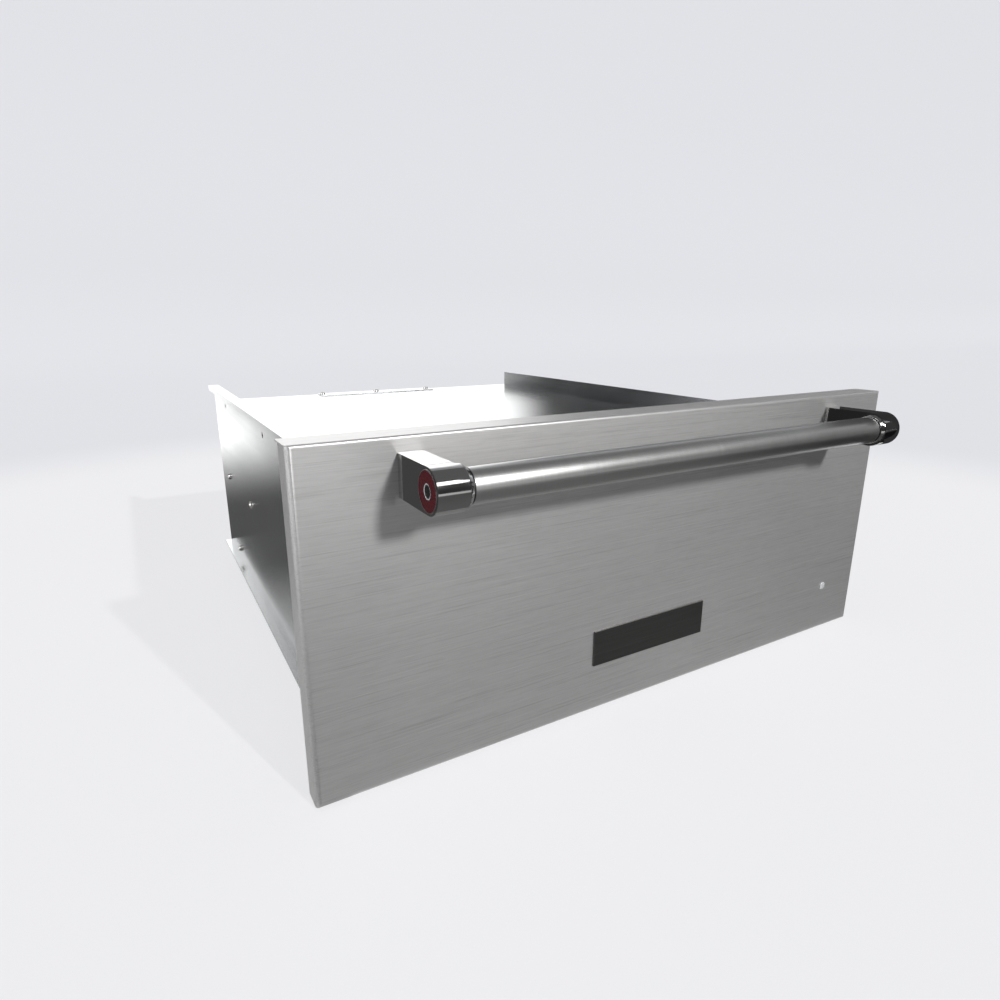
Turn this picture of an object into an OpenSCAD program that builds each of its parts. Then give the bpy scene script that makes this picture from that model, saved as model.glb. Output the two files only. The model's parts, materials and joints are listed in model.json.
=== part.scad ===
// Warming drawer: a heated, insulated sheet-metal cabinet with one drawer on ball slides.
// Right is +X, the drawer opens towards -Y and up is +Z. Every length is in millimetres.
// The origin lies on the supporting surface, under the middle of the overall outline.

/* [Drawer front] */
// Width of the drawer front
panel_w = 679.5; // [670:0.5:720]
// Height of the drawer front
panel_h = 289; // [287:0.5:300]
// Gap between the drawer front and the surface that the feet stand on
panel_lift = 2; // [1:0.5:5]
// Depth of the folds along the sides and the bottom
return_d = 22; // [20:0.5:23]
// Depth of the hood along the top
hood_d = 31; // [30.5:0.5:35]
// Sheet thickness of the outer skin
skin_t = 1; // [0.8:0.1:1.5]
// Bend radius of the two upright front edges
side_bend = 5; // [3:0.5:8]
// Bend radius of the two level front edges
edge_bend = 2.5; // [2:0.5:4]
// Sheet thickness of the lining behind the front
lining_t = 1; // [0.8:0.1:1.2]
// Width of the bare plate low on the front
badge_w = 143.4; // [100:1:180]
// Height of the bare plate
badge_h = 36.5; // [25:0.5:45]
// Thickness of the bare plate
badge_t = 2; // [1:0.5:3]
// Height of the bare plate's middle above the bottom of the front
badge_rise = 66.8; // [50:0.5:90]
// Diameter of the indicator lens
lens_d = 9.6; // [8:0.2:12]
// Distance of the lens from the right edge of the front
lens_inset = 60; // [45:0.5:80]
// Height of the lens above the bottom of the front
lens_rise = 56.6; // [45:0.2:80]

/* [Handle] */
// Distance between the outer faces of the two brackets
handle_w = 521.4; // [480:0.2:560]
// Distance from the front to the middle of the tube
handle_reach = 53.4; // [45:0.2:65]
// Depth of the tube's middle below the top of the front
handle_drop = 29.3; // [26:0.1:32]
// Radius of a bracket's round end
bracket_r = 16.9; // [16.5:0.1:19]
// Thickness of a bracket's arm
arm_t = 20.7; // [15:0.1:22]
// Length of the round collar past the arm
collar_l = 3; // [2:0.5:12]
// Length of the collar's chamfer
chamfer_l = 4; // [3:0.5:8]
// Width of the dark ring between collar and tube
spacer_l = 1.8; // [1.5:0.1:4]
// Outer radius of the tube
tube_r = 13.4; // [12.4:0.1:13.8]
// Wall of the tube
tube_t = 1.5; // [1:0.1:2]
// Radius of the medallion in a bracket's outer face
medallion_r = 15.2; // [13:0.1:15.6]

/* [Cabinet] */
// Width over the side walls
body_w = 622; // [618:1:628]
// Depth from the back of the front frame to the back of the side walls
body_d = 587; // [587:1:620]
// Depth of the top panel below the top of the front
top_drop = 41.5; // [38:0.5:46]
// Height of the cabinet's underside above the supporting surface
foot_h = 33; // [30:0.5:36]
// Length of the top panel behind the back wall
overhang = 45; // [44:0.5:60]
// Sheet thickness of the cabinet
sheet = 1.2; // [1:0.1:1.5]
// Height of the folded edges above the top panel
rail_h = 23.5; // [15:0.5:26]
// Width of the folded edge on the left
rail_w = 14.2; // [10:0.2:20]
// Distance that the folded edge stands out past the left wall
lip_out = 2.7; // [1.5:0.1:4]
// Depth of the lip outside the wall
lip_h = 6.7; // [4:0.1:10]
// Width of the bottom flange outside each wall
flange_w = 8.7; // [6:0.1:14]
// Distance of the right folded edge from the right wall
channel_w = 90; // [60:1:130]
// Depth of the space between a side wall and the cavity
side_space = 19.8; // [19:0.2:21]
// Height of the space between the base and the cavity
base_space = 15.8; // [15:0.2:18]
// Height of the space between the top panel and the cavity
top_space = 10; // [8:0.5:12]
// Depth of the space between the back wall and the cavity
back_space = 27; // [26:0.5:34]

/* [Front frame] */
// Width of the frame past each side wall
frame_side = 18; // [15:0.5:22]
// Height of the frame past the cabinet's underside
frame_below = 17; // [10:0.5:24]
// Height of the frame past the top panel
frame_above = 31; // [26:0.5:34]
// Thickness of the frame
frame_t = 1.5; // [1.2:0.1:2]
// Radius of the fixing holes in the frame
fixing_r = 2.4; // [1.8:0.1:3]
// Height between the fixing holes
fixing_pitch = 120; // [80:1:150]
// Width of the door gasket
gasket_w = 13; // [10:0.5:15]

/* [Cavity and drawer] */
// Sheet thickness of the cavity liner
liner_t = 1; // [0.8:0.1:1.2]
// Depth of the slides' middle below the pan's rim
slide_drop = 38; // [34:0.5:42]
// Thickness of a closed slide
slide_t = 12.7; // [12.7:0.1:14]
// Height of a slide
slide_h = 45.7; // [43:0.1:50]
// Gap between the slides' back ends and the back of the cavity
slide_back_gap = 29.6; // [19.6:0.1:49.6]
// Length of a slide that still holds the drawer when it is fully out
slide_hold = 40; // [30:1:140]
// Depth of the pan's rim below the cavity's ceiling
rim_drop = 47.3; // [42:0.1:54]
// Gap between the pan's floor and the element's cover
pan_clear = 9; // [5:0.5:30]
// Wall of the pan
pan_t = 1; // [0.8:0.1:1.5]
// Corner radius of the pan
pan_r = 14; // [8:0.5:25]
// Sheet thickness of the drawer's rails
carrier_t = 1.2; // [1:0.1:1.5]

/* [Heating] */
// Radius of the heating element's sheath
element_r = 3.2; // [2.5:0.1:4]
// Height of the element above the cavity floor
element_h = 11; // [9:0.5:12]
// Height of the element's cover above the cavity floor
cover_h = 19; // [18:0.5:22]
// Half the width over the element's outer runs
element_x = 240; // [225:1:245]
// Bend radius between the element's runs
element_bend = 40; // [30:1:42]

/* [Hidden] */
$fn = 48;

// Overrun of every cut past the face that it opens
cut = 1;
// Running gap between pieces that move past each other
gap = 0.3;
// Loose clearance round fasteners and probes
slack = 0.2;
// Open room round pieces that only pass by
room = 1;

// Heights, measured from the supporting surface
panel_z = panel_lift;
panel_top = panel_z + panel_h;
base_z = foot_h;
base_top = base_z + sheet;
top_z = panel_top - top_drop;
body_h = top_z - base_z;
top_under = top_z - sheet;
rail_z = top_z + rail_h;
liner_z0 = base_top + base_space;
liner_z1 = top_under - top_space;
cavity_z0 = liner_z0 + liner_t;
cavity_z1 = liner_z1 - liner_t;
rim_z = cavity_z1 - rim_drop;
slide_z = rim_z - slide_drop;
pan_z0 = cavity_z0 + cover_h + liner_t + pan_clear;

// Depths, measured from the outer face of the drawer front
hood_gap = 0.5;
frame_y = hood_d + hood_gap;
body_y0 = frame_y + frame_t;
back_y = body_y0 + body_d;
wall_in_y = back_y - sheet;
plate_y = wall_in_y - sheet;
top_y1 = back_y + overhang;
liner_y1 = plate_y - back_space;
cavity_y1 = liner_y1 - liner_t;
lining_y = return_d;
lining_in = lining_y - lining_t;
gasket_seat = 2.8;
handle_front = handle_reach + bracket_r;
face_y = (handle_front - top_y1) / 2;

// Half widths
panel_x = panel_w / 2;
wall_x = body_w / 2;
wall_in = wall_x - sheet;
liner_x = wall_in - side_space;
cavity_x = liner_x - liner_t;
carrier_x = cavity_x - slide_t;
channel_x = wall_x - channel_w;

// Blankets start behind the frame's tabs and stop short of the cavity's back
tab_l = 17;
tab_t = 1.5;
blanket_y0 = body_y0 + tab_l + 2 * gap;
blanket_y1 = cavity_y1 - gap;

// Slide supports and the screws of the cabinet
support_ys = [for (share = [0.2, 0.58, 0.876]) body_y0 + share * body_d];
support_w = 30;
support_h = 40;
support_t = 1.5;
screw_r = 1.9;
screw_l = 9;
screw_head_r = 4.5;
screw_head_h = 2.4;
hole_r = screw_r + slack;
short_screw_l = 5;
base_edge_h = 24;
base_screw_z = 18;
base_screw_ys = [for (share = [0.148, 0.825]) body_y0 + share * body_d];
fixing_z = (cavity_z0 + cavity_z1) / 2;
fixing_out = 10;
tab_screw_y = 9;
wall_fold = 14;
wall_fold_screws = [for (share = [0.13, 0.54, 0.9]) base_z + share * body_h];
rail_hole_r = 3;
rail_hole_z = 8.5;
rail_hole_ys = [for (share = [0.366, 0.815]) body_y0 + share * body_d];

// Feet
foot_inset = 51;
foot_front = 47;
foot_back = 60;
pad_r = 19;
pad_h = 10;
stud_r = 5;
stud_top = 14;
nut_r = 8.5;
nut_h = 8;
foot_ys = [body_y0 + foot_front, back_y - foot_back];

// Slide sections
slide_setback = 7;
slide_y0 = body_y0 + slide_setback;
slide_len = cavity_y1 - slide_back_gap - slide_y0;
travel = slide_len - slide_hold;
outer_t = 1.4;
middle_t = 1.3;
inner_t = 1.4;
race = 2.2;
web_gap = 1.5;
middle_end = 5;
ball_clear = 0.1;
ball_r = race / 2 - ball_clear;
cage_t = 0.9;
ball_count = 8;
slide_head_h = 0.9;
slide_head_r = 4;
middle_web = cavity_x - outer_t - web_gap;
flange_reach = slide_t - outer_t - web_gap;

// Pan and rails
rail_flange = 10;
rim_w = 9;
pan_setback = 4;
pan_x = carrier_x - rail_flange - room;
carrier_h = 62;
carrier_z0 = rim_z - carrier_h;
bumper_l = 14.5;
bumper_r = 7;
bumper_x = 200;
rail_y1 = cavity_y1 - bumper_l;
pan_y0 = lining_y + carrier_t + rail_flange + pan_setback;
pan_y1 = rail_y1 - rail_flange - pan_setback;
tab_w = 24;
front_rail_h = 26;
tab_screw_x = carrier_x - tab_w * 2 / 3;
tab_screw_zs = [for (share = [0.25, 0.7]) carrier_z0 + share * carrier_h];
front_screw_xs = [for (share = [-0.7, 0, 0.7]) share * (carrier_x - tab_w)];
slide_screw_ys = [for (share = [0.08, 0.5, 0.92]) slide_y0 + share * slide_len];

// Rear terminal compartment
terminal_x0 = -145;
terminal_w = 200;
terminal_h = 130;
cover_depth = 27;
cover_t = 1.5;
cover_screw_inset = 6.5;
cover_screw_y = top_y1 - cover_screw_inset;
access_inset = 10;
access_w = 13;
cover_xs = [for (share = [0.03, 0.5, 0.97]) terminal_x0 + share * terminal_w];
bush_x = 20;
bush_r = 8;
bush_wall = 2.5;
bush_flange = 4;
bush_l = 15;

// Vent in the lining
vent_count = 9;
vent_pitch = 14;
vent_slot_w = 5;
vent_slot_h = 16;
vent_drop = 23;
vent_t = 1;
vent_play = 7;
vent_edge = 4;
guide_lip = 3;
outlet_count = 5;
outlet_x = 110;
outlet_drop = 21;
outlet_z = panel_top - outlet_drop;
vent_z = cavity_z1 - vent_drop;
vent_h = vent_slot_h + 2 * vent_edge;
vent_half = (vent_count * vent_pitch + vent_play) / 2;

// Touch control under the hood
tray_w = 180;
tray_h = 28;
tray_t = 1.5;
tray_d = 5.3;
tray_drop = 6;
glass_t = 1.4;
glass_edge = 4;
touch_board_t = 1.2;
tray_z1 = panel_top - skin_t - tray_drop;

// Handle fixing
stiffener_t = 2;
stiffener_w = 600;
stiffener_d = 12;
blanket_inset = 5;
bolt_r = 3;
bolt_l = 22;
bolt_head_r = 5;
bolt_head_h = 5;
bolt_pitch = 20;
stiffener_h = 43;
handle_z = panel_top - handle_drop;
arm_x = handle_w / 2;
collar_x = arm_x - arm_t;
chamfer_x = collar_x - collar_l;
spacer_x = chamfer_x - chamfer_l;
tube_x = spacer_x - spacer_l;
spigot_l = 18;
chamfer_cut = 2.6;
medallion_t = 1.6;
medallion_seat = 1;

// Block between two x, two y and two z values
module span(x, y, z)
    translate([x[0], y[0], z[0]]) cube([x[1] - x[0], y[1] - y[0], z[1] - z[0]]);

// The drawer front's outer face is where depth starts
module from_face()
    translate([0, face_y, 0]) children();

module both_sides() {
    children();
    mirror([1, 0, 0]) children();
}

// A section drawn as width and height, drawn out along the depth
module along_y(y)
    translate([0, y[1], 0]) rotate([90, 0, 0]) linear_extrude(y[1] - y[0]) children();

// A section drawn as depth and height, drawn out along the width
module along_x(x)
    translate([x[0], 0, 0]) rotate([90, 0, 90]) linear_extrude(x[1] - x[0]) children();

module area(x, y)
    translate([x[0], y[0]]) square([x[1] - x[0], y[1] - y[0]]);

// Rectangle with four round corners, centred on the origin
module round_rect(w, h, r) {
    square([w - 2 * r, h], center = true);
    square([w, h - 2 * r], center = true);
    for (i = [-1, 1])
        for (j = [-1, 1])
            translate([i * (w / 2 - r), j * (h / 2 - r)]) circle(r);
}

// Slot with round ends that runs along x
module slot(l, w) {
    square([l - w, w], center = true);
    for (i = [-1, 1])
        translate([i * (l - w) / 2, 0]) circle(w / 2);
}

// Round bar or hole along x, y or z
module rod_x(x, y, z, r)
    translate([x[0], y, z]) rotate([0, 90, 0]) cylinder(r = r, h = x[1] - x[0]);

module rod_y(x, y, z, r)
    translate([x, y[1], z]) rotate([90, 0, 0]) cylinder(r = r, h = y[1] - y[0]);

module rod_z(x, y, z, r)
    translate([x, y, z[0]]) cylinder(r = r, h = z[1] - z[0]);

// Pan-head screw with its shank along -z and its head standing on z = 0
module pan_screw(l = screw_l) {
    translate([0, 0, -l]) cylinder(r = screw_r, h = l);
    cylinder(r1 = screw_head_r, r2 = screw_head_r - screw_head_h / 2, h = screw_head_h);
}

// Places on the right wall where screws enter: depth and height
wall_screw_places = concat(
    [for (y = support_ys) [y, slide_z]],
    [for (y = base_screw_ys) [y, base_z + base_screw_z]],
    [for (side = [-1, 1]) [body_y0 + tab_screw_y, fixing_z + side * fixing_pitch / 2]]);

module wall(top) {
    difference() {
        union() {
            span([wall_in, wall_x], [body_y0, back_y], [base_z, top]);
            span([wall_in, wall_x + flange_w], [body_y0, back_y], [base_z, base_top]);
            span([wall_x - wall_fold, wall_x], [wall_in_y, back_y], [base_top, top_under]);
        }
        for (place = wall_screw_places)
            rod_x([wall_in - cut, wall_x + cut], place[0], place[1], hole_r);
        for (z = wall_fold_screws)
            rod_y(wall_x - wall_fold / 2, [wall_in_y - cut, back_y + cut], z, hole_r);
    }
}

module side_wall_left() color([0.80, 0.81, 0.82]) from_face()
    mirror([1, 0, 0]) difference() {
        wall(rail_z - sheet);
        for (y = rail_hole_ys)
            rod_x([wall_in - cut, wall_x + cut], y, top_z + rail_hole_z, rail_hole_r);
    }

module side_wall_right() color([0.80, 0.81, 0.82]) from_face()
    wall(top_under);

module base_pan() color([0.72, 0.73, 0.74]) from_face()
    difference() {
        union() {
            span([-wall_in, wall_in], [body_y0, plate_y], [base_z, base_top]);
            both_sides()
                span([wall_in - sheet, wall_in], [body_y0 + tab_l + gap, plate_y],
                    [base_z, base_z + base_edge_h]);
            both_sides()
                for (y = foot_ys)
                    rod_z(wall_x - foot_inset, y, [base_z, base_top + nut_h], nut_r);
        }
        both_sides()
            for (y = foot_ys)
                rod_z(wall_x - foot_inset, y, [base_z - cut, base_top + nut_h + cut], stud_r + slack);
        both_sides()
            for (y = base_screw_ys)
                rod_x([wall_in - sheet - cut, wall_in + cut], y, base_z + base_screw_z, hole_r);
    }

module back_wall() color([0.74, 0.75, 0.76]) from_face()
    difference() {
        span([-wall_in, wall_in], [plate_y, wall_in_y], [base_z, top_under]);
        both_sides()
            for (z = wall_fold_screws)
                rod_y(wall_x - wall_fold / 2, [plate_y - cut, wall_in_y + cut], z, hole_r);
        rod_y(bush_x, [plate_y - cut, wall_in_y + cut], top_under - terminal_h / 4, bush_r);
    }

// The left edge folds up, over the wall and down outside it; the right edge folds up only
module top_panel() color([0.84, 0.85, 0.86]) from_face()
    difference() {
        union() {
            along_y([body_y0, top_y1]) {
                area([-wall_x - lip_out + rail_w - sheet, channel_x], [top_under, top_z]);
                area([-wall_x - lip_out + rail_w - sheet, -wall_x - lip_out + rail_w],
                    [top_under, rail_z]);
                area([-wall_x - lip_out, -wall_x - lip_out + rail_w], [rail_z - sheet, rail_z]);
                area([-wall_x - lip_out, -wall_x - lip_out + sheet], [rail_z - lip_h, rail_z]);
                area([channel_x - sheet, channel_x], [top_under, rail_z]);
            }
            span([-wall_x - lip_out + rail_w - sheet, channel_x], [top_y1 - sheet, top_y1],
                [top_z - lip_h, top_z]);
        }
        span([terminal_x0 + access_inset, terminal_x0 + terminal_w - access_inset],
            [top_y1 - cover_depth + sheet, top_y1 - cover_depth + sheet + access_w],
            [top_under - cut, top_z + cut]);
        for (x = cover_xs)
            rod_z(x, cover_screw_y, [top_under - cut, top_z + cut], hole_r);
    }

module channel_cover() color([0.80, 0.81, 0.82]) from_face() {
    span([channel_x, wall_x + sheet], [body_y0, top_y1], [top_under, top_z]);
    span([channel_x, channel_x + sheet], [body_y0, top_y1], [top_under, top_z + lip_h]);
    span([wall_x, wall_x + sheet], [body_y0, top_y1], [top_z - lip_h, top_z]);
}

module front_frame() color([0.78, 0.79, 0.80]) from_face()
    difference() {
        union() {
            span([-wall_x - frame_side, wall_x + frame_side], [frame_y, body_y0],
                [base_z - frame_below, top_z + frame_above]);
            both_sides()
                span([wall_in - tab_t, wall_in], [body_y0, body_y0 + tab_l],
                    [fixing_z - fixing_pitch * 2 / 3, fixing_z + fixing_pitch * 2 / 3]);
        }
        span([-cavity_x, cavity_x], [frame_y - cut, body_y0 + cut], [cavity_z0, cavity_z1]);
        both_sides()
            for (side = [-1, 1]) {
                rod_y(wall_x + fixing_out, [frame_y - cut, body_y0 + cut],
                    fixing_z + side * fixing_pitch / 2, fixing_r);
                rod_x([wall_in - tab_t - cut, wall_in + cut], body_y0 + tab_screw_y,
                    fixing_z + side * fixing_pitch / 2, hole_r);
            }
    }

// Frame-shaped ring round the opening, between two distances from its edge
module gasket_ring(inner, outer, y)
    along_y(y) difference() {
        area([-cavity_x - outer, cavity_x + outer], [cavity_z0 - outer, cavity_z1 + outer]);
        area([-cavity_x - inner, cavity_x + inner], [cavity_z0 - inner, cavity_z1 + inner]);
    }

// Wide seat on the frame with a narrower sealing bead in front of it
module door_gasket() color([0.16, 0.16, 0.17]) from_face() {
    gasket_ring(gasket_w / 5, gasket_w, [frame_y - gasket_seat, frame_y]);
    gasket_ring(gasket_w * 2 / 5, gasket_w * 4 / 5, [lining_y + gap, frame_y - gasket_seat]);
}

liner_flange = 6.6;
sensor_x = 120;
sensor_drop = 22;
sensor_z = cavity_z1 - sensor_drop;
sensor_l = 45;
sensor_r = 2.5;
plate_l = 30;
plate_w = 14;
thermostat_x = -120;
thermostat_rise = 49;
thermostat_z = cavity_z0 + thermostat_rise;
thermostat_r = 9;
thermostat_h = 8;
element_z = cavity_z0 + element_h;
terminal_run = 40;
insulator_r = 6;
insulator_l = 20;

module cavity_liner() color([0.70, 0.71, 0.72]) from_face()
    difference() {
        union() {
            span([-liner_x, liner_x], [body_y0, liner_y1], [liner_z0, liner_z1]);
            span([-liner_x - liner_flange, liner_x + liner_flange], [body_y0, body_y0 + liner_t],
                [liner_z0 - liner_flange, liner_z1 + liner_flange]);
        }
        span([-cavity_x, cavity_x], [body_y0 - cut, cavity_y1], [cavity_z0, cavity_z1]);
        both_sides() {
            rod_y(terminal_run, [cavity_y1 - cut, liner_y1 + cut], element_z, insulator_r + slack);
            for (y = support_ys)
                rod_x([cavity_x - cut, liner_x + cut], y, slide_z, hole_r);
        }
        rod_y(sensor_x, [cavity_y1 - cut, liner_y1 + cut], sensor_z, sensor_r + slack);
    }

module insulation_top() color([0.93, 0.90, 0.80]) from_face()
    span([-cavity_x, cavity_x], [blanket_y0, blanket_y1], [liner_z1 + gap, top_under - gap]);

module insulation_base() color([0.93, 0.90, 0.80]) from_face()
    difference() {
        span([-cavity_x, cavity_x], [blanket_y0, blanket_y1], [base_top + gap, liner_z0 - gap]);
        both_sides()
            for (y = foot_ys)
                rod_z(wall_x - foot_inset, y, [base_top - cut, liner_z0 + cut], nut_r + room);
    }

module insulation_back() color([0.93, 0.90, 0.80]) from_face()
    difference() {
        span([-cavity_x, cavity_x], [liner_y1 + gap, plate_y - gap], [liner_z0, liner_z1]);
        both_sides()
            rod_y(terminal_run, [liner_y1 - cut, plate_y + cut], element_z, insulator_r + 2 * room);
        rod_y(sensor_x, [liner_y1 - cut, plate_y + cut], sensor_z, plate_l / 2 + room);
        rod_y(thermostat_x, [liner_y1 - cut, plate_y + cut], thermostat_z, plate_l / 2 + room);
    }

module insulation_sides() color([0.93, 0.90, 0.80]) from_face()
    both_sides() difference() {
        span([liner_x + gap, wall_in - sheet - gap], [blanket_y0, blanket_y1], [liner_z0, liner_z1]);
        for (y = support_ys)
            span([liner_x - cut, wall_in + cut], [y - support_w / 2 - gap, y + support_w / 2 + gap],
                [slide_z - support_h / 2 - gap, slide_z + support_h / 2 + gap]);
        for (y = base_screw_ys)
            rod_x([wall_in - screw_l, wall_in], y, base_z + base_screw_z, screw_r + room);
    }

module slide_supports() color([0.66, 0.67, 0.68]) from_face()
    both_sides()
        for (y = support_ys)
            difference() {
                span([liner_x, wall_in], [y - support_w / 2, y + support_w / 2],
                    [slide_z - support_h / 2, slide_z + support_h / 2]);
                span([liner_x + support_t, wall_in - support_t],
                    [y - support_w / 2 + support_t, y + support_w / 2 - support_t],
                    [slide_z - support_h / 2 - cut, slide_z + support_h / 2 + cut]);
                rod_x([liner_x - cut, wall_in + cut], y, slide_z, hole_r);
            }

// Channel whose web stands at web_x; the flanges reach to tip_x
module channel(web_x, tip_x, t, half_h) {
    side = sign(tip_x - web_x);
    area([min(web_x, web_x + side * t), max(web_x, web_x + side * t)], [-half_h, half_h]);
    for (z = [-half_h, half_h - t])
        area([min(web_x, tip_x), max(web_x, tip_x)], [z, z + t]);
}

outer_half = slide_h / 2;
middle_half = outer_half - outer_t - race;
inner_half = middle_half - middle_t - race;

module slide_row(y)
    translate([0, 0, slide_z]) along_y(y) children();

module outer_slides() color([0.75, 0.76, 0.78]) from_face()
    both_sides() difference() {
        slide_row([slide_y0, slide_y0 + slide_len])
            channel(cavity_x, cavity_x - flange_reach, outer_t, outer_half);
        for (y = support_ys)
            rod_x([cavity_x - outer_t - cut, cavity_x + cut], y, slide_z, hole_r);
    }

module middle_slides() color([0.72, 0.73, 0.75]) from_face()
    both_sides()
        slide_row([slide_y0 + middle_end, slide_y0 + slide_len - middle_end])
            channel(middle_web, middle_web - flange_reach + room, middle_t, middle_half);

module inner_slides() color([0.75, 0.76, 0.78]) from_face()
    both_sides() difference() {
        slide_row([slide_y0, slide_y0 + slide_len])
            channel(carrier_x, middle_web - middle_t - web_gap, inner_t, inner_half);
        for (y = slide_screw_ys)
            rod_x([carrier_x - cut, carrier_x + inner_t + cut], y, slide_z, hole_r);
    }

// Two strips that carry a row of balls each, above and below a nested pair of channels
module cage_pair(y0, l, z, x0, x1)
    for (side = [-1, 1]) {
        span([x0, x1], [y0, y0 + l],
            [slide_z + side * z - cage_t / 2, slide_z + side * z + cage_t / 2]);
        for (i = [0.5:1:ball_count])
            translate([(x0 + x1) / 2, y0 + i * l / ball_count, slide_z + side * z]) sphere(ball_r);
    }

module outer_ball_cages() color([0.60, 0.56, 0.42]) from_face()
    both_sides()
        cage_pair(slide_y0 + travel / 4 + middle_end,
            slide_len - travel / 2 - 3 * middle_end,
            outer_half - outer_t - race / 2,
            cavity_x - flange_reach + room, middle_web - middle_t);

module inner_ball_cages() color([0.60, 0.56, 0.42]) from_face()
    both_sides()
        cage_pair(slide_y0 + travel / 4 + 2 * middle_end,
            slide_len - travel / 2 - 4 * middle_end,
            middle_half - middle_t - race / 2,
            carrier_x + inner_t + room, middle_web - middle_t - web_gap);

module slide_screws() color([0.60, 0.61, 0.63]) from_face()
    both_sides()
        for (y = support_ys) {
            rod_x([cavity_x - outer_t - slide_head_h, cavity_x - outer_t], y, slide_z, slide_head_r);
            rod_x([cavity_x - outer_t - slide_head_h, liner_x + support_t + slide_head_r],
                y, slide_z, screw_r);
        }

module cabinet_screws() color([0.62, 0.63, 0.65]) from_face() {
    both_sides() {
        for (place = wall_screw_places)
            translate([wall_x, place[0], place[1]]) rotate([0, 90, 0]) pan_screw();
        for (z = wall_fold_screws)
            translate([wall_x - wall_fold / 2, back_y, z]) rotate([-90, 0, 0]) pan_screw();
    }
    for (x = cover_xs)
        translate([x, cover_screw_y, top_z + cover_t]) pan_screw();
}

// One bent run of the element, turned about its bend
module bend(x, y, start, angle)
    translate([x, y, element_z]) rotate([0, 0, start])
        rotate_extrude(angle = angle) translate([element_bend, 0]) circle(element_r);

element_front = 60;
element_back = 110;
element_y0 = body_y0 + element_front;
element_y1 = cavity_y1 - element_back;
inner_run = element_x - 2 * element_bend;
first_run_y = element_y0 + 3 * element_bend;

// Each half runs from its terminal forwards, sideways, back, round and forwards to the front run
module heating_element() color([0.32, 0.31, 0.31]) from_face() {
    both_sides() {
        rod_y(terminal_run, [first_run_y, liner_y1 + insulator_l], element_z, element_r);
        bend(terminal_run + element_bend, first_run_y, 180, 90);
        rod_x([terminal_run + element_bend, inner_run - element_bend],
            first_run_y - element_bend, element_z, element_r);
        bend(inner_run - element_bend, first_run_y, 270, 90);
        rod_y(inner_run, [first_run_y, element_y1], element_z, element_r);
        bend(inner_run + element_bend, element_y1, 0, 180);
        rod_y(element_x, [element_y0 + element_bend, element_y1], element_z, element_r);
        bend(element_x - element_bend, element_y0 + element_bend, 270, 90);
    }
    rod_x([-element_x + element_bend, element_x - element_bend], element_y0, element_z, element_r);
}

module element_bushes() color([0.90, 0.88, 0.82]) from_face()
    both_sides() difference() {
        union() {
            rod_y(terminal_run, [cavity_y1 - 2 * room, liner_y1 + insulator_l * 2 / 3],
                element_z, insulator_r);
            rod_y(terminal_run, [liner_y1, liner_y1 + 2 * room], element_z, insulator_r + room);
        }
        rod_y(terminal_run, [cavity_y1 - 3 * room, liner_y1 + insulator_l], element_z,
            element_r + slack);
    }

clip_l = 8;
clip_places = [for (x = [inner_run, element_x]) for (share = [0.25, 0.75])
    [x, first_run_y + share * (element_y1 - first_run_y)]];

module element_clips() color([0.66, 0.67, 0.68]) from_face()
    both_sides()
        for (place = clip_places)
            difference() {
                span([place[0] - clip_l, place[0] + clip_l], [place[1] - clip_l / 2, place[1] + clip_l / 2],
                    [cavity_z0, element_z + element_r + 2 * room]);
                rod_y(place[0], [place[1] - clip_l, place[1] + clip_l], element_z, element_r + slack);
            }

cover_inset = 27;
guard_slot_l = 70;
guard_slot_w = 8;
guard_rows = 9;
guard_columns = 5;

module element_cover() color([0.68, 0.69, 0.70]) from_face()
    difference() {
        union() {
            span([-cavity_x + cover_inset, cavity_x - cover_inset],
                [body_y0 + cover_inset, cavity_y1 - cover_inset],
                [cavity_z0 + cover_h, cavity_z0 + cover_h + liner_t]);
            both_sides()
                span([cavity_x - cover_inset - liner_t, cavity_x - cover_inset],
                    [body_y0 + cover_inset, cavity_y1 - cover_inset],
                    [cavity_z0, cavity_z0 + cover_h + liner_t]);
        }
        for (i = [0.5:1:guard_columns])
            for (j = [0.5:1:guard_rows])
                translate([(2 * i / guard_columns - 1) * (cavity_x - 2 * cover_inset),
                    body_y0 + 2 * cover_inset
                        + j / guard_rows * (cavity_y1 - body_y0 - 4 * cover_inset),
                    cavity_z0 + cover_h - cut])
                    linear_extrude(liner_t + 2 * cut) slot(guard_slot_l, guard_slot_w);
    }

module temperature_sensor() color([0.78, 0.78, 0.76]) from_face() {
    rod_y(sensor_x, [cavity_y1 - sensor_l, liner_y1 + thermostat_h], sensor_z, sensor_r);
    back_plate(sensor_x, sensor_z) round_rect(plate_l, plate_w, plate_w / 4);
}

// Small plate on the outer face of the cavity's back
module back_plate(x, z)
    translate([x, liner_y1 + liner_t, z]) rotate([90, 0, 0]) linear_extrude(liner_t) children();

module limit_thermostat() color([0.14, 0.14, 0.15]) from_face() {
    rod_y(thermostat_x, [liner_y1, liner_y1 + thermostat_h], thermostat_z, thermostat_r);
    back_plate(thermostat_x, thermostat_z) round_rect(plate_l, plate_w, plate_w / 4);
    for (side = [-1, 1])
        translate([thermostat_x + side * thermostat_r / 2, 0, thermostat_z])
            span([-liner_t / 2, liner_t / 2], [liner_y1 + thermostat_h, liner_y1 + 2 * thermostat_h],
                [-thermostat_r / 3, thermostat_r / 3]);
}

module rear_bumpers() color([0.10, 0.10, 0.10]) from_face()
    both_sides()
        rod_y(bumper_x, [rail_y1 + gap, cavity_y1], slide_z, bumper_r);

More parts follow.
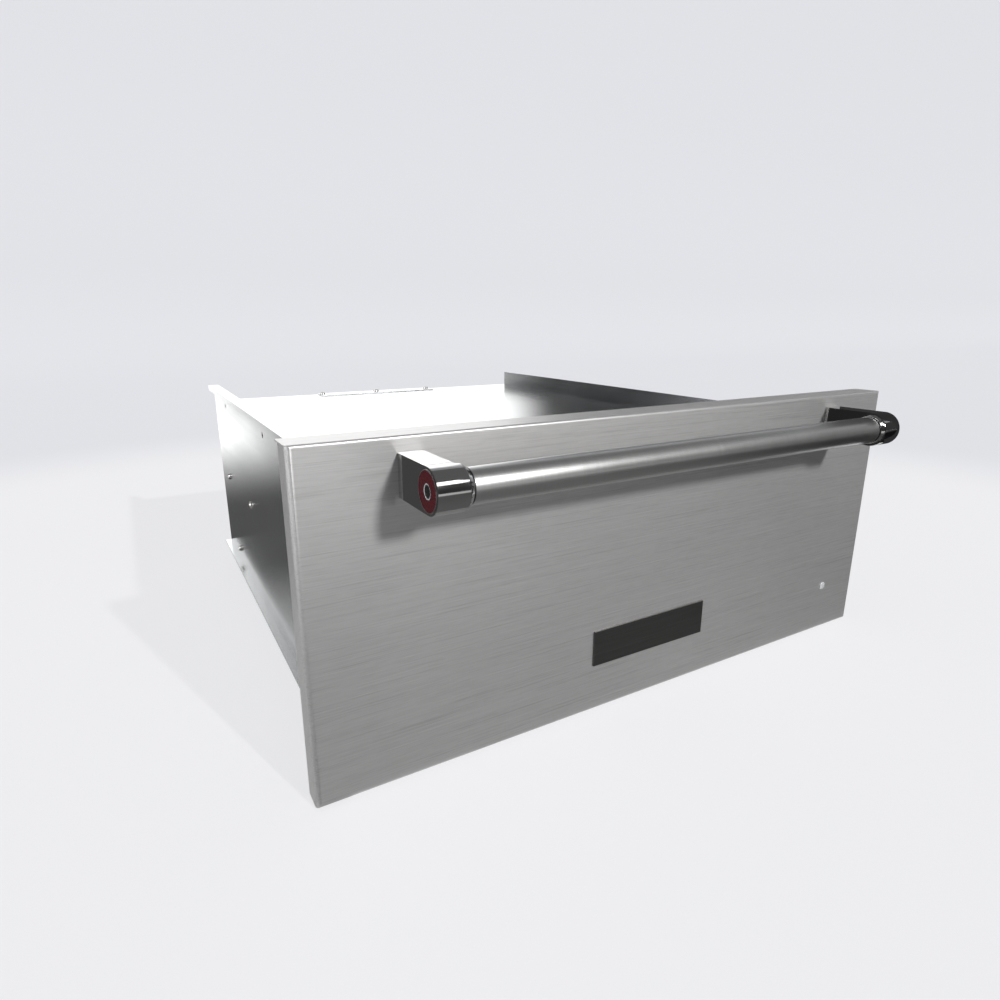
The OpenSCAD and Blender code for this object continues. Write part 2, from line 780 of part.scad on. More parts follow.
module terminal_box() color([0.74, 0.75, 0.76]) from_face()
    difference() {
        span([terminal_x0, terminal_x0 + terminal_w], [wall_in_y, top_y1 - sheet],
            [top_under - terminal_h, top_under]);
        span([terminal_x0 + sheet, terminal_x0 + terminal_w - sheet], [wall_in_y - cut, top_y1 - 2 * sheet],
            [top_under - terminal_h + sheet, top_under + cut]);
        rod_z(bush_x, (wall_in_y + top_y1) / 2,
            [top_under - terminal_h - cut, top_under - terminal_h + sheet + cut],
            bush_r + bush_wall + slack);
    }

module rear_cover() color([0.84, 0.85, 0.86]) from_face()
    difference() {
        span([terminal_x0, terminal_x0 + terminal_w], [top_y1 - cover_depth, top_y1],
            [top_z, top_z + cover_t]);
        for (x = cover_xs)
            rod_z(x, cover_screw_y, [top_z - cut, top_z + cover_t + cut], hole_r);
    }

board_t = 1.6;
board_gap = 5;
block_w = 34;
block_gap = 14.8;
board_h = 84;
board_side = 8;
board_drop = 12;
board_x0 = terminal_x0 + board_side;
block_x0 = terminal_x0 + terminal_w - sheet - block_w - 2 * room;
board_w = block_x0 - block_gap - board_x0;
board_z1 = top_under - board_drop;
spacer_r = 3;
board_face = wall_in_y + board_gap + board_t;

module control_board() color([0.10, 0.34, 0.18]) from_face()
    span([board_x0, board_x0 + board_w], [wall_in_y + board_gap, board_face],
        [board_z1 - board_h, board_z1]);

module board_spacers() color([0.80, 0.80, 0.78]) from_face()
    for (x = [board_x0 + 2 * spacer_r, board_x0 + board_w - 2 * spacer_r])
        for (z = [board_z1 - 2 * spacer_r, board_z1 - board_h + 2 * spacer_r])
            rod_y(x, [wall_in_y, wall_in_y + board_gap], z, spacer_r);

relay_size = [20, 15, 28];
transformer_size = [42, 26, 34];

module on_board(x_share, z_share, size)
    translate([board_x0 + x_share * board_w, board_face, board_z1 - board_h + z_share * board_h])
        translate([-size[0] / 2, 0, -size[2] / 2]) cube(size);

module board_components() color([0.12, 0.13, 0.15]) from_face() {
    on_board(0.78, 0.68, relay_size);
    on_board(0.78, 0.28, relay_size);
    on_board(0.32, 0.5, transformer_size);
}

block_h = 16;
block_d = 20;
pole_count = 3;
pole_r = 3;

module terminal_block() color([0.88, 0.87, 0.82]) from_face()
    difference() {
        translate([block_x0, wall_in_y, board_z1 - board_h]) cube([block_w, block_d, block_h]);
        for (i = [0.5:1:pole_count])
            rod_y(block_x0 + i * block_w / pole_count,
                [wall_in_y + block_d / 2, wall_in_y + block_d + cut],
                board_z1 - board_h + block_h / 2, pole_r);
    }

module conduit_bush() color([0.10, 0.10, 0.11]) from_face()
    translate([bush_x, (wall_in_y + top_y1) / 2, top_under - terminal_h]) difference() {
        union() {
            translate([0, 0, -bush_l / 2]) cylinder(r = bush_r + bush_wall, h = bush_l);
            translate([0, 0, -bush_flange]) cylinder(r = bush_r + 2 * bush_wall, h = bush_flange);
        }
        translate([0, 0, -bush_l / 2 - cut]) cylinder(r = bush_r, h = bush_l + 2 * cut);
    }

module foot_pads() color([0.12, 0.12, 0.12]) from_face()
    both_sides()
        for (y = foot_ys)
            translate([wall_x - foot_inset, y, 0]) difference() {
                union() {
                    cylinder(r = pad_r, h = pad_h / 2);
                    translate([0, 0, pad_h / 2]) cylinder(r1 = pad_r, r2 = pad_r * 2 / 3, h = pad_h / 2);
                }
                translate([0, 0, pad_h / 2]) cylinder(r = stud_r + slack, h = pad_h);
            }

module foot_studs() color([0.70, 0.71, 0.72]) from_face()
    both_sides()
        for (y = foot_ys) {
            rod_z(wall_x - foot_inset, y, [pad_h / 2, base_z + stud_top], stud_r);
            translate([wall_x - foot_inset, y, base_z - nut_h]) cylinder(r = nut_r, h = nut_h, $fn = 6);
        }

// Angle rail with a top flange that carries the pan's rim and a tab that meets the lining
module carrier_side()
    difference() {
        union() {
            along_y([lining_y, rail_y1]) {
                area([carrier_x - carrier_t, carrier_x], [carrier_z0, rim_z]);
                area([carrier_x - rail_flange, carrier_x], [rim_z - carrier_t, rim_z]);
                area([carrier_x - rail_flange, carrier_x], [carrier_z0, carrier_z0 + carrier_t]);
            }
            span([carrier_x - tab_w, carrier_x], [lining_y, lining_y + carrier_t],
                [carrier_z0, rim_z - 2 * carrier_t]);
        }
        for (z = tab_screw_zs)
            rod_y(tab_screw_x, [lining_y - cut, lining_y + carrier_t + cut], z, hole_r);
        for (y = slide_screw_ys)
            rod_x([carrier_x - carrier_t - cut, carrier_x + cut], y, slide_z, hole_r);
    }

module carrier_side_left() color([0.74, 0.75, 0.76]) from_face()
    mirror([1, 0, 0]) carrier_side();

module carrier_side_right() color([0.74, 0.75, 0.76]) from_face()
    carrier_side();

module carrier_front() color([0.74, 0.75, 0.76]) from_face()
    difference() {
        along_x([-carrier_x + tab_w, carrier_x - tab_w]) {
            area([lining_y, lining_y + carrier_t], [rim_z - front_rail_h, rim_z]);
            area([lining_y, lining_y + carrier_t + rail_flange], [rim_z - carrier_t, rim_z]);
        }
        for (x = front_screw_xs)
            rod_y(x, [lining_y - cut, lining_y + carrier_t + cut], rim_z - front_rail_h / 2, hole_r);
    }

module carrier_rear() color([0.74, 0.75, 0.76]) from_face()
    union() {
        span([-carrier_x + carrier_t, carrier_x - carrier_t], [rail_y1 - carrier_t, rail_y1],
            [carrier_z0 + carrier_t, rim_z - carrier_t]);
        span([-carrier_x + rail_flange, carrier_x - rail_flange], [rail_y1 - rail_flange, rail_y1],
            [rim_z - carrier_t, rim_z]);
    }

module drawer_screws() color([0.62, 0.63, 0.65]) from_face() {
    both_sides() {
        for (z = tab_screw_zs)
            lining_screw(tab_screw_x, z);
        for (y = slide_screw_ys)
            translate([carrier_x - carrier_t, y, slide_z]) rotate([0, -90, 0])
                pan_screw(short_screw_l);
    }
    for (x = front_screw_xs)
        lining_screw(x, rim_z - front_rail_h / 2);
}

module lining_screw(x, z)
    translate([x, lining_y + carrier_t, z]) rotate([-90, 0, 0]) pan_screw();

module warming_pan() color([0.80, 0.80, 0.80]) from_face()
    translate([0, (pan_y0 + pan_y1) / 2, 0]) difference() {
        union() {
            translate([0, 0, pan_z0])
                linear_extrude(rim_z - pan_z0) round_rect(2 * pan_x, pan_y1 - pan_y0, pan_r);
            translate([0, 0, rim_z])
                linear_extrude(pan_t)
                    round_rect(2 * (pan_x + rim_w), pan_y1 - pan_y0 + 2 * rim_w, pan_r + rim_w / 2);
        }
        translate([0, 0, pan_z0 + pan_t])
            linear_extrude(rim_z - pan_z0 + cut)
                round_rect(2 * (pan_x - pan_t), pan_y1 - pan_y0 - 2 * pan_t, pan_r - pan_t);
    }

// Two round corners at the front, square corners behind
module rounded_front(w, back, r) {
    translate([-w / 2, r]) square([w, back - r]);
    translate([-w / 2 + r, 0]) square([w - 2 * r, back]);
    for (side = [-1, 1])
        translate([side * (w / 2 - r), r]) circle(r);
}

// Block with all four front edges bent, drawn in by inset on every side but the back
module bent_block(inset, back)
    intersection() {
        translate([0, inset, panel_z + inset]) linear_extrude(panel_h - 2 * inset)
            rounded_front(panel_w - 2 * inset, back - inset, side_bend - inset);
        translate([0, inset, panel_z + panel_h / 2]) along_x([-panel_x, panel_x])
            rotate(-90) rounded_front(panel_h - 2 * inset, back - inset, edge_bend - inset);
    }

bolt_x = arm_x - arm_t / 2;
lens_x = panel_x - lens_inset;
lens_z = panel_z + lens_rise;
lens_stem = lens_d * 0.3;
lens_out = 1.4;

module bolt_holes(y, r)
    both_sides()
        for (side = [-1, 1])
            rod_y(bolt_x, y, handle_z + side * bolt_pitch / 2, r);

module front_panel() color([0.70, 0.70, 0.70]) from_face()
    difference() {
        bent_block(0, hood_d);
        bent_block(skin_t, hood_d + cut);
        span([-panel_x - cut, panel_x + cut], [return_d, hood_d + cut],
            [panel_z - cut, panel_top - skin_t]);
        bolt_holes([-cut, skin_t + cut], bolt_r + slack);
        rod_y(lens_x, [-cut, skin_t + cut], lens_z, lens_stem + slack);
    }

vent_xs = [for (i = [0.5:1:vent_count]) (i - vent_count / 2) * vent_pitch];

module vent_slots(y)
    for (x = vent_xs)
        translate([x, 0, vent_z]) along_y(y) rotate(90) slot(vent_slot_h, vent_slot_w);

// The lining closes the back of the front, with a guide above and below the vent slide
module front_lining() color([0.76, 0.76, 0.77]) from_face()
    difference() {
        union() {
            span([-panel_x + skin_t, panel_x - skin_t], [lining_in, lining_y],
                [panel_z + skin_t, panel_top - skin_t]);
            translate([0, 0, vent_z])
                for (side = [0, 1])
                    mirror([0, 0, side]) vent_guide();
        }
        vent_slots([lining_in - cut, lining_y + cut]);
        both_sides() {
            for (z = tab_screw_zs)
                rod_y(tab_screw_x, [lining_in - cut, lining_y + cut], z, hole_r);
            for (i = [1:outlet_count])
                translate([outlet_x + i * vent_pitch, 0, outlet_z])
                    along_y([lining_in - cut, lining_y + cut]) rotate(90)
                        slot(vent_slot_h, vent_slot_w);
        }
        for (x = front_screw_xs)
            rod_y(x, [lining_in - cut, lining_y + cut], rim_z - front_rail_h / 2, hole_r);
    }

// Hooked strip that holds one long edge of the vent slide
module vent_guide()
    along_x([-vent_half - vent_play, vent_half + vent_play]) {
        area([lining_y, lining_y + 2 * vent_t + 2 * gap],
            [vent_h / 2 + gap, vent_h / 2 + gap + vent_t]);
        area([lining_y + vent_t + 2 * gap, lining_y + 2 * vent_t + 2 * gap],
            [vent_h / 2 + gap - guide_lip, vent_h / 2 + gap + vent_t]);
    }

module vent_slide() color([0.30, 0.30, 0.31]) from_face() {
    difference() {
        span([-vent_half, vent_half], [lining_y + gap, lining_y + gap + vent_t],
            [vent_z - vent_h / 2, vent_z + vent_h / 2]);
        vent_slots([lining_y - cut, lining_y + gap + vent_t + cut]);
    }
    span([-vent_pitch / 5, vent_pitch / 5],
        [lining_y + gap + vent_t, lining_y + gap + 5 * vent_t],
        [vent_z - vent_slot_h / 3, vent_z + vent_slot_h / 3]);
}

module front_insulation() color([0.93, 0.90, 0.80]) from_face()
    difference() {
        span([-panel_x + blanket_inset, panel_x - blanket_inset], [skin_t + gap, lining_in - gap],
            [panel_z + blanket_inset, handle_z - stiffener_h / 2 - gap]);
        span([-vent_half, vent_half], [0, return_d], [vent_z - vent_h / 2, handle_z]);
        span([lens_x - lens_d, lens_x + lens_d], [0, return_d], [lens_z - lens_d, lens_z + lens_d]);
        both_sides()
            for (z = tab_screw_zs)
                rod_y(tab_screw_x, [0, return_d], z, hole_r + room);
        for (x = front_screw_xs)
            rod_y(x, [0, return_d], rim_z - front_rail_h / 2, hole_r + room);
    }

module handle_stiffener() color([0.70, 0.71, 0.72]) from_face()
    difference() {
        along_x([-stiffener_w / 2, stiffener_w / 2])
            translate([0, handle_z])
                channel(skin_t, stiffener_d, stiffener_t, stiffener_h / 2);
        bolt_holes([0, skin_t + stiffener_t + cut], bolt_r + slack);
    }

module handle_tube() color([0.74, 0.75, 0.75]) from_face()
    difference() {
        rod_x([-tube_x, tube_x], -handle_reach, handle_z, tube_r);
        rod_x([-tube_x - cut, tube_x + cut], -handle_reach, handle_z, tube_r - tube_t);
    }

// Arm with a round nose, a chamfered collar towards the tube and a spigot inside the tube
module handle_bracket()
    difference() {
        union() {
            along_x([collar_x, arm_x]) {
                area([-handle_reach, 0], [handle_z - bracket_r, handle_z + bracket_r]);
                translate([-handle_reach, handle_z]) circle(bracket_r);
            }
            rod_x([chamfer_x, collar_x], -handle_reach, handle_z, bracket_r);
            translate([spacer_x, -handle_reach, handle_z]) rotate([0, 90, 0])
                cylinder(r1 = bracket_r - chamfer_cut, r2 = bracket_r, h = chamfer_l);
            rod_x([spacer_x - spigot_l, spacer_x], -handle_reach, handle_z, tube_r - tube_t - gap);
        }
        rod_x([arm_x - medallion_seat, arm_x + cut], -handle_reach, handle_z, medallion_r + slack);
        for (side = [-1, 1])
            rod_y(bolt_x, [-bolt_l - room, cut], handle_z + side * bolt_pitch / 2, bolt_r + slack);
    }

module handle_bracket_left() color([0.82, 0.82, 0.83]) from_face()
    mirror([1, 0, 0]) handle_bracket();

module handle_bracket_right() color([0.82, 0.82, 0.83]) from_face()
    handle_bracket();

module handle_spacers() color([0.05, 0.05, 0.05]) from_face()
    both_sides() difference() {
        rod_x([tube_x, spacer_x], -handle_reach, handle_z, tube_r - tube_t / 2);
        rod_x([tube_x - cut, spacer_x + cut], -handle_reach, handle_z, tube_r - tube_t);
    }

module medallions() color([0.28, 0.02, 0.03]) from_face()
    both_sides()
        rod_x([arm_x - medallion_seat, arm_x - medallion_seat + medallion_t],
            -handle_reach, handle_z, medallion_r);

module handle_bolts() color([0.62, 0.63, 0.65]) from_face() {
    bolt_holes([-bolt_l, skin_t + stiffener_t], bolt_r);
    bolt_holes([skin_t + stiffener_t, skin_t + stiffener_t + bolt_head_h], bolt_head_r);
}

module badge_plate() color([0.25, 0.25, 0.26]) from_face()
    span([-badge_w / 2, badge_w / 2], [-badge_t, 0],
        [panel_z + badge_rise - badge_h / 2, panel_z + badge_rise + badge_h / 2]);

module indicator_lens() color([0.86, 0.87, 0.88]) from_face() {
    rod_y(lens_x, [-lens_out, 0], lens_z, lens_d / 2);
    rod_y(lens_x, [0, lens_d / 2], lens_z, lens_stem);
}

// Small board on the lining with a light column that ends behind the lens
module indicator_lamp() color([0.10, 0.34, 0.18]) from_face() {
    span([lens_x - lens_d * 3 / 4, lens_x + lens_d * 3 / 4], [lining_in - board_t, lining_in],
        [lens_z - lens_d * 3 / 4, lens_z + lens_d * 3 / 4]);
    rod_y(lens_x, [lens_d / 2 + slack, lining_in - board_t], lens_z, lens_stem);
}

module control_tray() color([0.09, 0.09, 0.10]) from_face()
    difference() {
        span([-tray_w / 2, tray_w / 2], [lining_y, lining_y + tray_d], [tray_z1 - tray_h, tray_z1]);
        span([-tray_w / 2 + tray_t, tray_w / 2 - tray_t], [lining_y - cut, lining_y + tray_d - tray_t],
            [tray_z1 - tray_h + tray_t, tray_z1 - tray_t]);
    }

module touch_board() color([0.10, 0.34, 0.18]) from_face()
    span([-tray_w / 2 + tray_t + room, tray_w / 2 - tray_t - room],
        [lining_y + tray_d - tray_t - touch_board_t, lining_y + tray_d - tray_t],
        [tray_z1 - tray_h + tray_t + room, tray_z1 - tray_t - room]);

module touch_glass() color([0.03, 0.03, 0.04]) from_face()
    span([-tray_w / 2 + glass_edge, tray_w / 2 - glass_edge],
        [lining_y + tray_d, lining_y + tray_d + glass_t],
        [tray_z1 - tray_h + glass_edge, tray_z1 - glass_edge]);

side_wall_left();
side_wall_right();
base_pan();
back_wall();
top_panel();
channel_cover();
front_frame();
door_gasket();
cavity_liner();
insulation_top();
insulation_base();
insulation_back();
insulation_sides();
slide_supports();
outer_slides();
slide_screws();
cabinet_screws();
heating_element();
element_bushes();
element_clips();
element_cover();
temperature_sensor();
limit_thermostat();
rear_bumpers();
terminal_box();
rear_cover();
control_board();
board_components();
board_spacers();
terminal_block();
conduit_bush();
foot_pads();
foot_studs();
middle_slides();
outer_ball_cages();
inner_ball_cages();
inner_slides();
carrier_side_left();
carrier_side_right();
carrier_front();
carrier_rear();
drawer_screws();
warming_pan();
front_panel();
front_lining();
front_insulation();
handle_stiffener();
handle_tube();
handle_bracket_left();
handle_bracket_right();
handle_spacers();
medallions();
handle_bolts();
badge_plate();
indicator_lens();
indicator_lamp();
control_tray();
touch_board();
touch_glass();
vent_slide();
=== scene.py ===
# %% [markdown]
# A warming drawer, dressed in Blender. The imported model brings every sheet, rail and screw in
# its true place. This notebook gives them their finishes, and swaps a few of them for pieces
# with the soft edges and small details that a stamped, cast or moulded part has.

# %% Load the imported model
import bmesh
import bpy
import json
import math
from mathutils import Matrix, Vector, noise

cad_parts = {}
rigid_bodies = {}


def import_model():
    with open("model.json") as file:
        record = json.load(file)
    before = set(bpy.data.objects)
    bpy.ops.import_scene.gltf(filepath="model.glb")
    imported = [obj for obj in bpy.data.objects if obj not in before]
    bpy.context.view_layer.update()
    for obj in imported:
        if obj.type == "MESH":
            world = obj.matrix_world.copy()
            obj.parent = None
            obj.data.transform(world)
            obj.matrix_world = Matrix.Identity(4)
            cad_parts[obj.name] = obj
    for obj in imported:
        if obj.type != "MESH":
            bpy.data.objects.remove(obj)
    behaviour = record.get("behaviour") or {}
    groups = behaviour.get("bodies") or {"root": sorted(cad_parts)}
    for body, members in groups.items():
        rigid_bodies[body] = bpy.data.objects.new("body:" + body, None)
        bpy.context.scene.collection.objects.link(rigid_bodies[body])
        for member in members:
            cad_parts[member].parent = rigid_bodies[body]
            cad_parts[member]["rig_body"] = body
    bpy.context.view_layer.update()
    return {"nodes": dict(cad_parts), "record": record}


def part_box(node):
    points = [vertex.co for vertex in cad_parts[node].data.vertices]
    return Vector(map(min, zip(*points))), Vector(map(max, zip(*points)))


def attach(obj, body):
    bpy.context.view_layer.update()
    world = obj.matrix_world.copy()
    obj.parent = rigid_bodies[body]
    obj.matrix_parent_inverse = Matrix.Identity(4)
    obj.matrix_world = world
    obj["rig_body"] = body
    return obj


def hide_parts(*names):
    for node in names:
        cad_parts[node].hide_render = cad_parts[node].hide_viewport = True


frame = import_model()

# %% [markdown]
# The camera stands to the front left and looks down on the drawer. Its place was solved from
# the corners of the drawer front, so one focal length and three angles put every edge where
# the photograph has it.

# %% Camera at the photograph's place
FOCAL_SHARE = 0.6414
EYE = Vector((-0.42493, -0.73009, 0.37178))
PITCH, YAW = math.radians(15.555), math.radians(29.893)
eye_data = bpy.data.cameras.new("eye")
eye_data.sensor_width = 36
eye_data.lens = 36 * FOCAL_SHARE
eye_data.shift_x, eye_data.shift_y = 0.0018, -0.0021
eye_data.clip_start = 0.01
eye = bpy.data.objects.new("eye", eye_data)
bpy.context.scene.collection.objects.link(eye)
eye.location = EYE
eye.rotation_euler = (math.pi / 2 - PITCH, 0, -YAW)
bpy.context.scene.camera = eye
bpy.context.scene.view_settings.view_transform = "Standard"
print("lens in mm:", round(eye_data.lens, 2))

# %% [markdown]
# Shader graphs are easier to read as formulas than as wires. A small class holds one output
# socket and turns plus, minus, times and the rest into Math nodes. Every other node comes from
# one method, which takes the node's settings first and the values of its sockets after them.

# %% Sockets that can be added and multiplied
class Signal:
    """An output socket that can be added, multiplied and so on."""

    def __init__(self, paper, socket):
        self.paper, self.socket = paper, socket

    def _math(self, operation, a, b=None):
        sockets = {0: a} if b is None else {0: a, 1: b}
        return self.paper.node("ShaderNodeMath", {"operation": operation}, sockets)

    def __add__(self, other): return self._math("ADD", self, other)
    def __radd__(self, other): return self._math("ADD", other, self)
    def __sub__(self, other): return self._math("SUBTRACT", self, other)
    def __rsub__(self, other): return self._math("SUBTRACT", other, self)
    def __mul__(self, other): return self._math("MULTIPLY", self, other)
    def __rmul__(self, other): return self._math("MULTIPLY", other, self)
    def __truediv__(self, other): return self._math("DIVIDE", self, other)
    def power(self, other): return self._math("POWER", self, other)
    def most(self, other): return self._math("MAXIMUM", self, other)
    def size(self): return self._math("ABSOLUTE", self)

    def step(self, low, high):
        """Goes smoothly from 0 to 1 while the signal goes from low to high."""
        return self.paper.node("ShaderNodeMapRange", {"interpolation_type": "SMOOTHSTEP"},
                               {"Value": self, "From Min": low, "From Max": high})


class Wires:
    """Any node tree, with one method that adds a node and joins it up."""

    def node(self, kind, settings=None, sockets=None, out=0):
        made = self.tree.nodes.new(kind)
        for key, value in (settings or {}).items():
            setattr(made, key, value)
        for key, value in (sockets or {}).items():
            if isinstance(value, Signal):
                self.tree.links.new(value.socket, made.inputs[key])
            else:
                made.inputs[key].default_value = value
        return Signal(self, made.outputs[out])


class Paper(Wires):
    """One material's node tree, emptied, with its output node."""

    def __init__(self, name):
        self.material = bpy.data.materials.new(name)
        self.material.use_nodes = True
        self.tree = self.material.node_tree
        self.tree.nodes.clear()
        self.end = self.tree.nodes.new("ShaderNodeOutputMaterial")

    def place(self):
        return self.node("ShaderNodeTexCoord", out="Object")

    def stretched(self, x, y, z):
        return self.node("ShaderNodeMapping", {"vector_type": "POINT"},
                         {"Vector": self.place(), "Scale": (x, y, z)})

    def squeezed(self, along, across, lengthwise):
        """Coordinates for noise that runs along one axis."""
        return self.stretched(*[lengthwise if i == along else across for i in range(3)])

    def axes(self):
        split = self.tree.nodes.new("ShaderNodeSeparateXYZ")
        self.tree.links.new(self.place().socket, split.inputs[0])
        return [Signal(self, split.outputs[i]) for i in range(3)]

    def noise(self, vector, scale, detail=3.0, roughness=0.55):
        return self.node("ShaderNodeTexNoise", {"noise_dimensions": "3D"},
                         {"Vector": vector, "Scale": scale, "Detail": detail,
                          "Roughness": roughness}, out="Fac")

    def blend(self, factor, a, b):
        return self.node("ShaderNodeMix", {"data_type": "RGBA", "blend_type": "MIX"},
                         {"Factor": factor, 6: a, 7: b}, out=2)

    def shader(self, **sockets):
        named = {key.replace("_", " "): value for key, value in sockets.items()}
        return self.finish(self.node("ShaderNodeBsdfPrincipled", {}, named))

    def toned(self, level, white=(1.0, 1.0, 1.0, 1)):
        """A colour between black and a white."""
        return self.blend(level, (0.0, 0.0, 0.0, 1), white)

    def bump(self, height, strength, distance):
        return self.node("ShaderNodeBump", {},
                         {"Height": height, "Strength": strength, "Distance": distance})

    def glow(self, colour, strength):
        return self.node("ShaderNodeEmission", {}, {"Color": colour, "Strength": strength})

    def finish(self, shader):
        self.tree.links.new(shader.socket, self.end.inputs["Surface"])
        return self.material


print("helpers ready")

# %% [markdown]
# The room is a pale floor that curves up into pale walls, so that no line crosses behind the
# drawer from any side. A painted pool of light makes the floor's colour palest in a wide round
# patch under the drawer. The camera alone sees the far side of the room, or it would keep the
# lamps out.

# %% Floor and walls
def stage_mesh(name, points, faces, material):
    mesh = bpy.data.meshes.new(name)
    mesh.from_pydata(points, [], faces)
    mesh.materials.append(material)
    thing = bpy.data.objects.new(name, mesh)
    bpy.context.scene.collection.objects.link(thing)
    return thing


def unseen(thing, *rays):
    for ray in rays:
        setattr(thing, "visible_" + ray, False)


# The first colour is a painted pool of light, used near the drawer; the second is the wall's
# colour.
PAINTED_POOL_FLOOR, FAR_WALL = (0.892, 0.892, 0.908, 1), (0.750, 0.756, 0.787, 1)
PATCH_X, PATCH_Y, PATCH_IN, PATCH_OUT = -0.10, -0.17, 1.26, 1.84


def floor_paint(name, own_light, far_floor):
    """Paint of which a share shines by itself, so that only deep shadows show on it."""
    paper = Paper(name)
    seen = paper.node("ShaderNodeLightPath", out="Is Camera Ray").most(
        paper.node("ShaderNodeLightPath", out="Is Glossy Ray")).most(
        paper.node("ShaderNodeLightPath", out="Is Transmission Ray"))
    x, y, z = paper.axes()
    away = ((x - PATCH_X).power(2.0) + (y - PATCH_Y).power(2.0)).power(0.5)
    # Painted light: the floor beyond the pool is painted paler than the wall, so that the two
    # look alike under unequal light.
    pale = paper.blend(z.step(0.0, 0.9), far_floor, FAR_WALL)
    # Painted pool of light: the colour is palest near the drawer and fades out to the pale floor
    # and walls.
    colour = paper.blend(away.step(PATCH_IN, PATCH_OUT), PAINTED_POOL_FLOOR, pale)
    dull = paper.node("ShaderNodeBsdfDiffuse", {}, {"Color": colour, "Roughness": 0.0})
    return paper.finish(paper.node("ShaderNodeMixShader", {}, {
        0: seen * own_light, 1: dull, 2: paper.glow(colour, 1.0)}))


BACK, WALL, CURVE, HALF_WIDTH, DROP = 7.0, 5.0, 3.0, 32.0, 0.0002


def sweep(name, start, way, paint):
    """A strip of floor that starts at y, runs the given way and curves up into a wall."""
    edge = BACK - CURVE
    bends = [(edge + CURVE * math.sin(t), CURVE - CURVE * math.cos(t))
             for t in [math.pi / 2 * i / 16 for i in range(17)]]
    path = [(start * way, 0.0)] + bends + [(BACK, CURVE + WALL)]
    points = [(side * HALF_WIDTH, y * way, z - DROP) for y, z in path for side in (-way, way)]
    faces = [(2 * i, 2 * i + 1, 2 * i + 3, 2 * i + 2) for i in range(len(path) - 1)]
    made = stage_mesh(name, points, faces, paint)
    for face in made.data.polygons:
        face.use_smooth = True
    return made


room = sweep("room", -6.0, 1, floor_paint("floor_paint", 0.8, (0.786, 0.792, 0.824, 1)))
far_side = sweep("far_side", -3.999, -1,
                 floor_paint("far_paint", 1.0, (0.761, 0.767, 0.800, 1)))
unseen(far_side, "diffuse", "glossy", "shadow")
print("room depth in m:", 2 * BACK)

# %% [markdown]
# Sheet metal shows its surroundings more than its own colour. So cards stand round the drawer,
# as they do in a photographer's studio, and only reflections see them. The three large ones
# grade from pale to dark and give the front, the side and the top their long gradients. Dark
# ones close the room off. Three small dark flags stand beside the handle's brackets as painted
# shade: the brackets and the front next to them reflect the flags and look shaded.

# %% Cards that only reflections see
def card(name, points, formula, strength=1.0):
    """A shining quad; the formula gives its level, between 0 and 1, from x, y and z."""
    paper = Paper(name)
    tint = paper.toned(formula(*paper.axes()))
    made = stage_mesh(name, points, [(0, 1, 2, 3)], paper.finish(paper.glow(tint, strength)))
    unseen(made, "camera", "diffuse", "shadow", "transmission")


def front_shade(x, y, z):
    """Dim near the drawer and pale far off; darker to the right of the camera's view."""
    away = -1.0 * y
    turned = x / (0.45 + away * 0.55)
    near = (0.14 - away.step(0.34, 0.80) * 0.02) * (1 - turned.step(0.06, 1.00) * 0.93)
    return near + away.step(1.15, 1.75) * (1 - turned.step(0.44, 1.62) * 0.9) * 0.58


def side_shade(x, y, z):
    """Dark beside the cabinet's middle, a painted shadow of the cabinet that the side wall
    reflects; pale far behind it on a strip near the wall.
    """
    # Painted shadow: the low level near the cabinet stands in for its shadow on the floor.
    strip = 0.13 - y.step(0.00, 0.28) * 0.095 + y.step(0.62, 1.95) * 0.965
    beyond = 0.13 - y.step(0.30, 0.45) * 0.10
    return x.step(-0.62, -0.55) * (strip - beyond) + beyond


def top_shade(x, y, z):
    """Pale between two bearings from the camera."""
    turned = (x - EYE.x) / (y - EYE.y)
    return (1.0 - turned.step(0.57, 0.70) * 0.97) * turned.step(-0.20, -0.02)


def even_shade(x, y, z):
    return 0.05 + (x + z).step(-4.0, 4.0) * 0.04


def full_shade(x, y, z):
    return 1.0 + 0.0 * x


def lying(left, right, near, far, z):
    return [(left, near, z), (right, near, z), (right, far, z), (left, far, z)]


def upright(start, end, low, high):
    return [(*start, low), (*end, low), (*end, high), (*start, high)]


def facing(place, width, height, aim=(-0.05, -0.30, 0.24)):
    """The corners of a card that stands at a place and faces an aim."""
    way = (Vector(place) - Vector(aim)).normalized()
    across = way.cross(Vector((0, 0, 1))).normalized() * width / 2
    up = across.normalized().cross(way) * height / 2
    middle = Vector(place)
    return [tuple(middle + across * i + up * j) for i, j in ((-1, -1), (1, -1), (1, 1), (-1, 1))]


LOW, FOOT, WALL_X, FRONT_Y, FLAG_Z = 0.002, 0.02, -0.3115, -0.299, 0.238
card("front_card", lying(-0.9, 4.5, -4.0, FRONT_Y, LOW), front_shade)
card("side_card", lying(-2.2, WALL_X, FRONT_Y, 3.6, LOW), side_shade, 2.6)
card("top_card", upright((-2.4, 2.2), (6.0, 2.2), FOOT, 2.4), top_shade, 1.7)
card("dark_card", [(-4.0, -4.0, FOOT), (5.0, -4.0, FOOT), (5.0, -3.2, 4.5), (-4.0, -3.2, 4.5)],
     even_shade, 0.5)
card("ceiling_card", lying(-3.5, 3.5, -2.0, 0.9, 2.6), even_shade, 1.6)
card("right_card", upright((4.6, -4.0), (4.6, -0.5), FOOT, 2.6), even_shade, 0.6)
card("key_card", facing((0.34, -1.62, 1.36), 0.86, 0.46), full_shade, 3.1)
# Painted shade: dark flags beside the brackets, which only reflections see.
for side, x, top, level in (("left", -0.2633, 0.284, 1.1), ("inner", 0.2366, 0.284, 0.35),
                            ("outer", 0.2632, 0.340, 0.6)):
    card(side + "_flag", upright((x, -0.372), (x, -0.2985), FLAG_Z, top), even_shade, level)

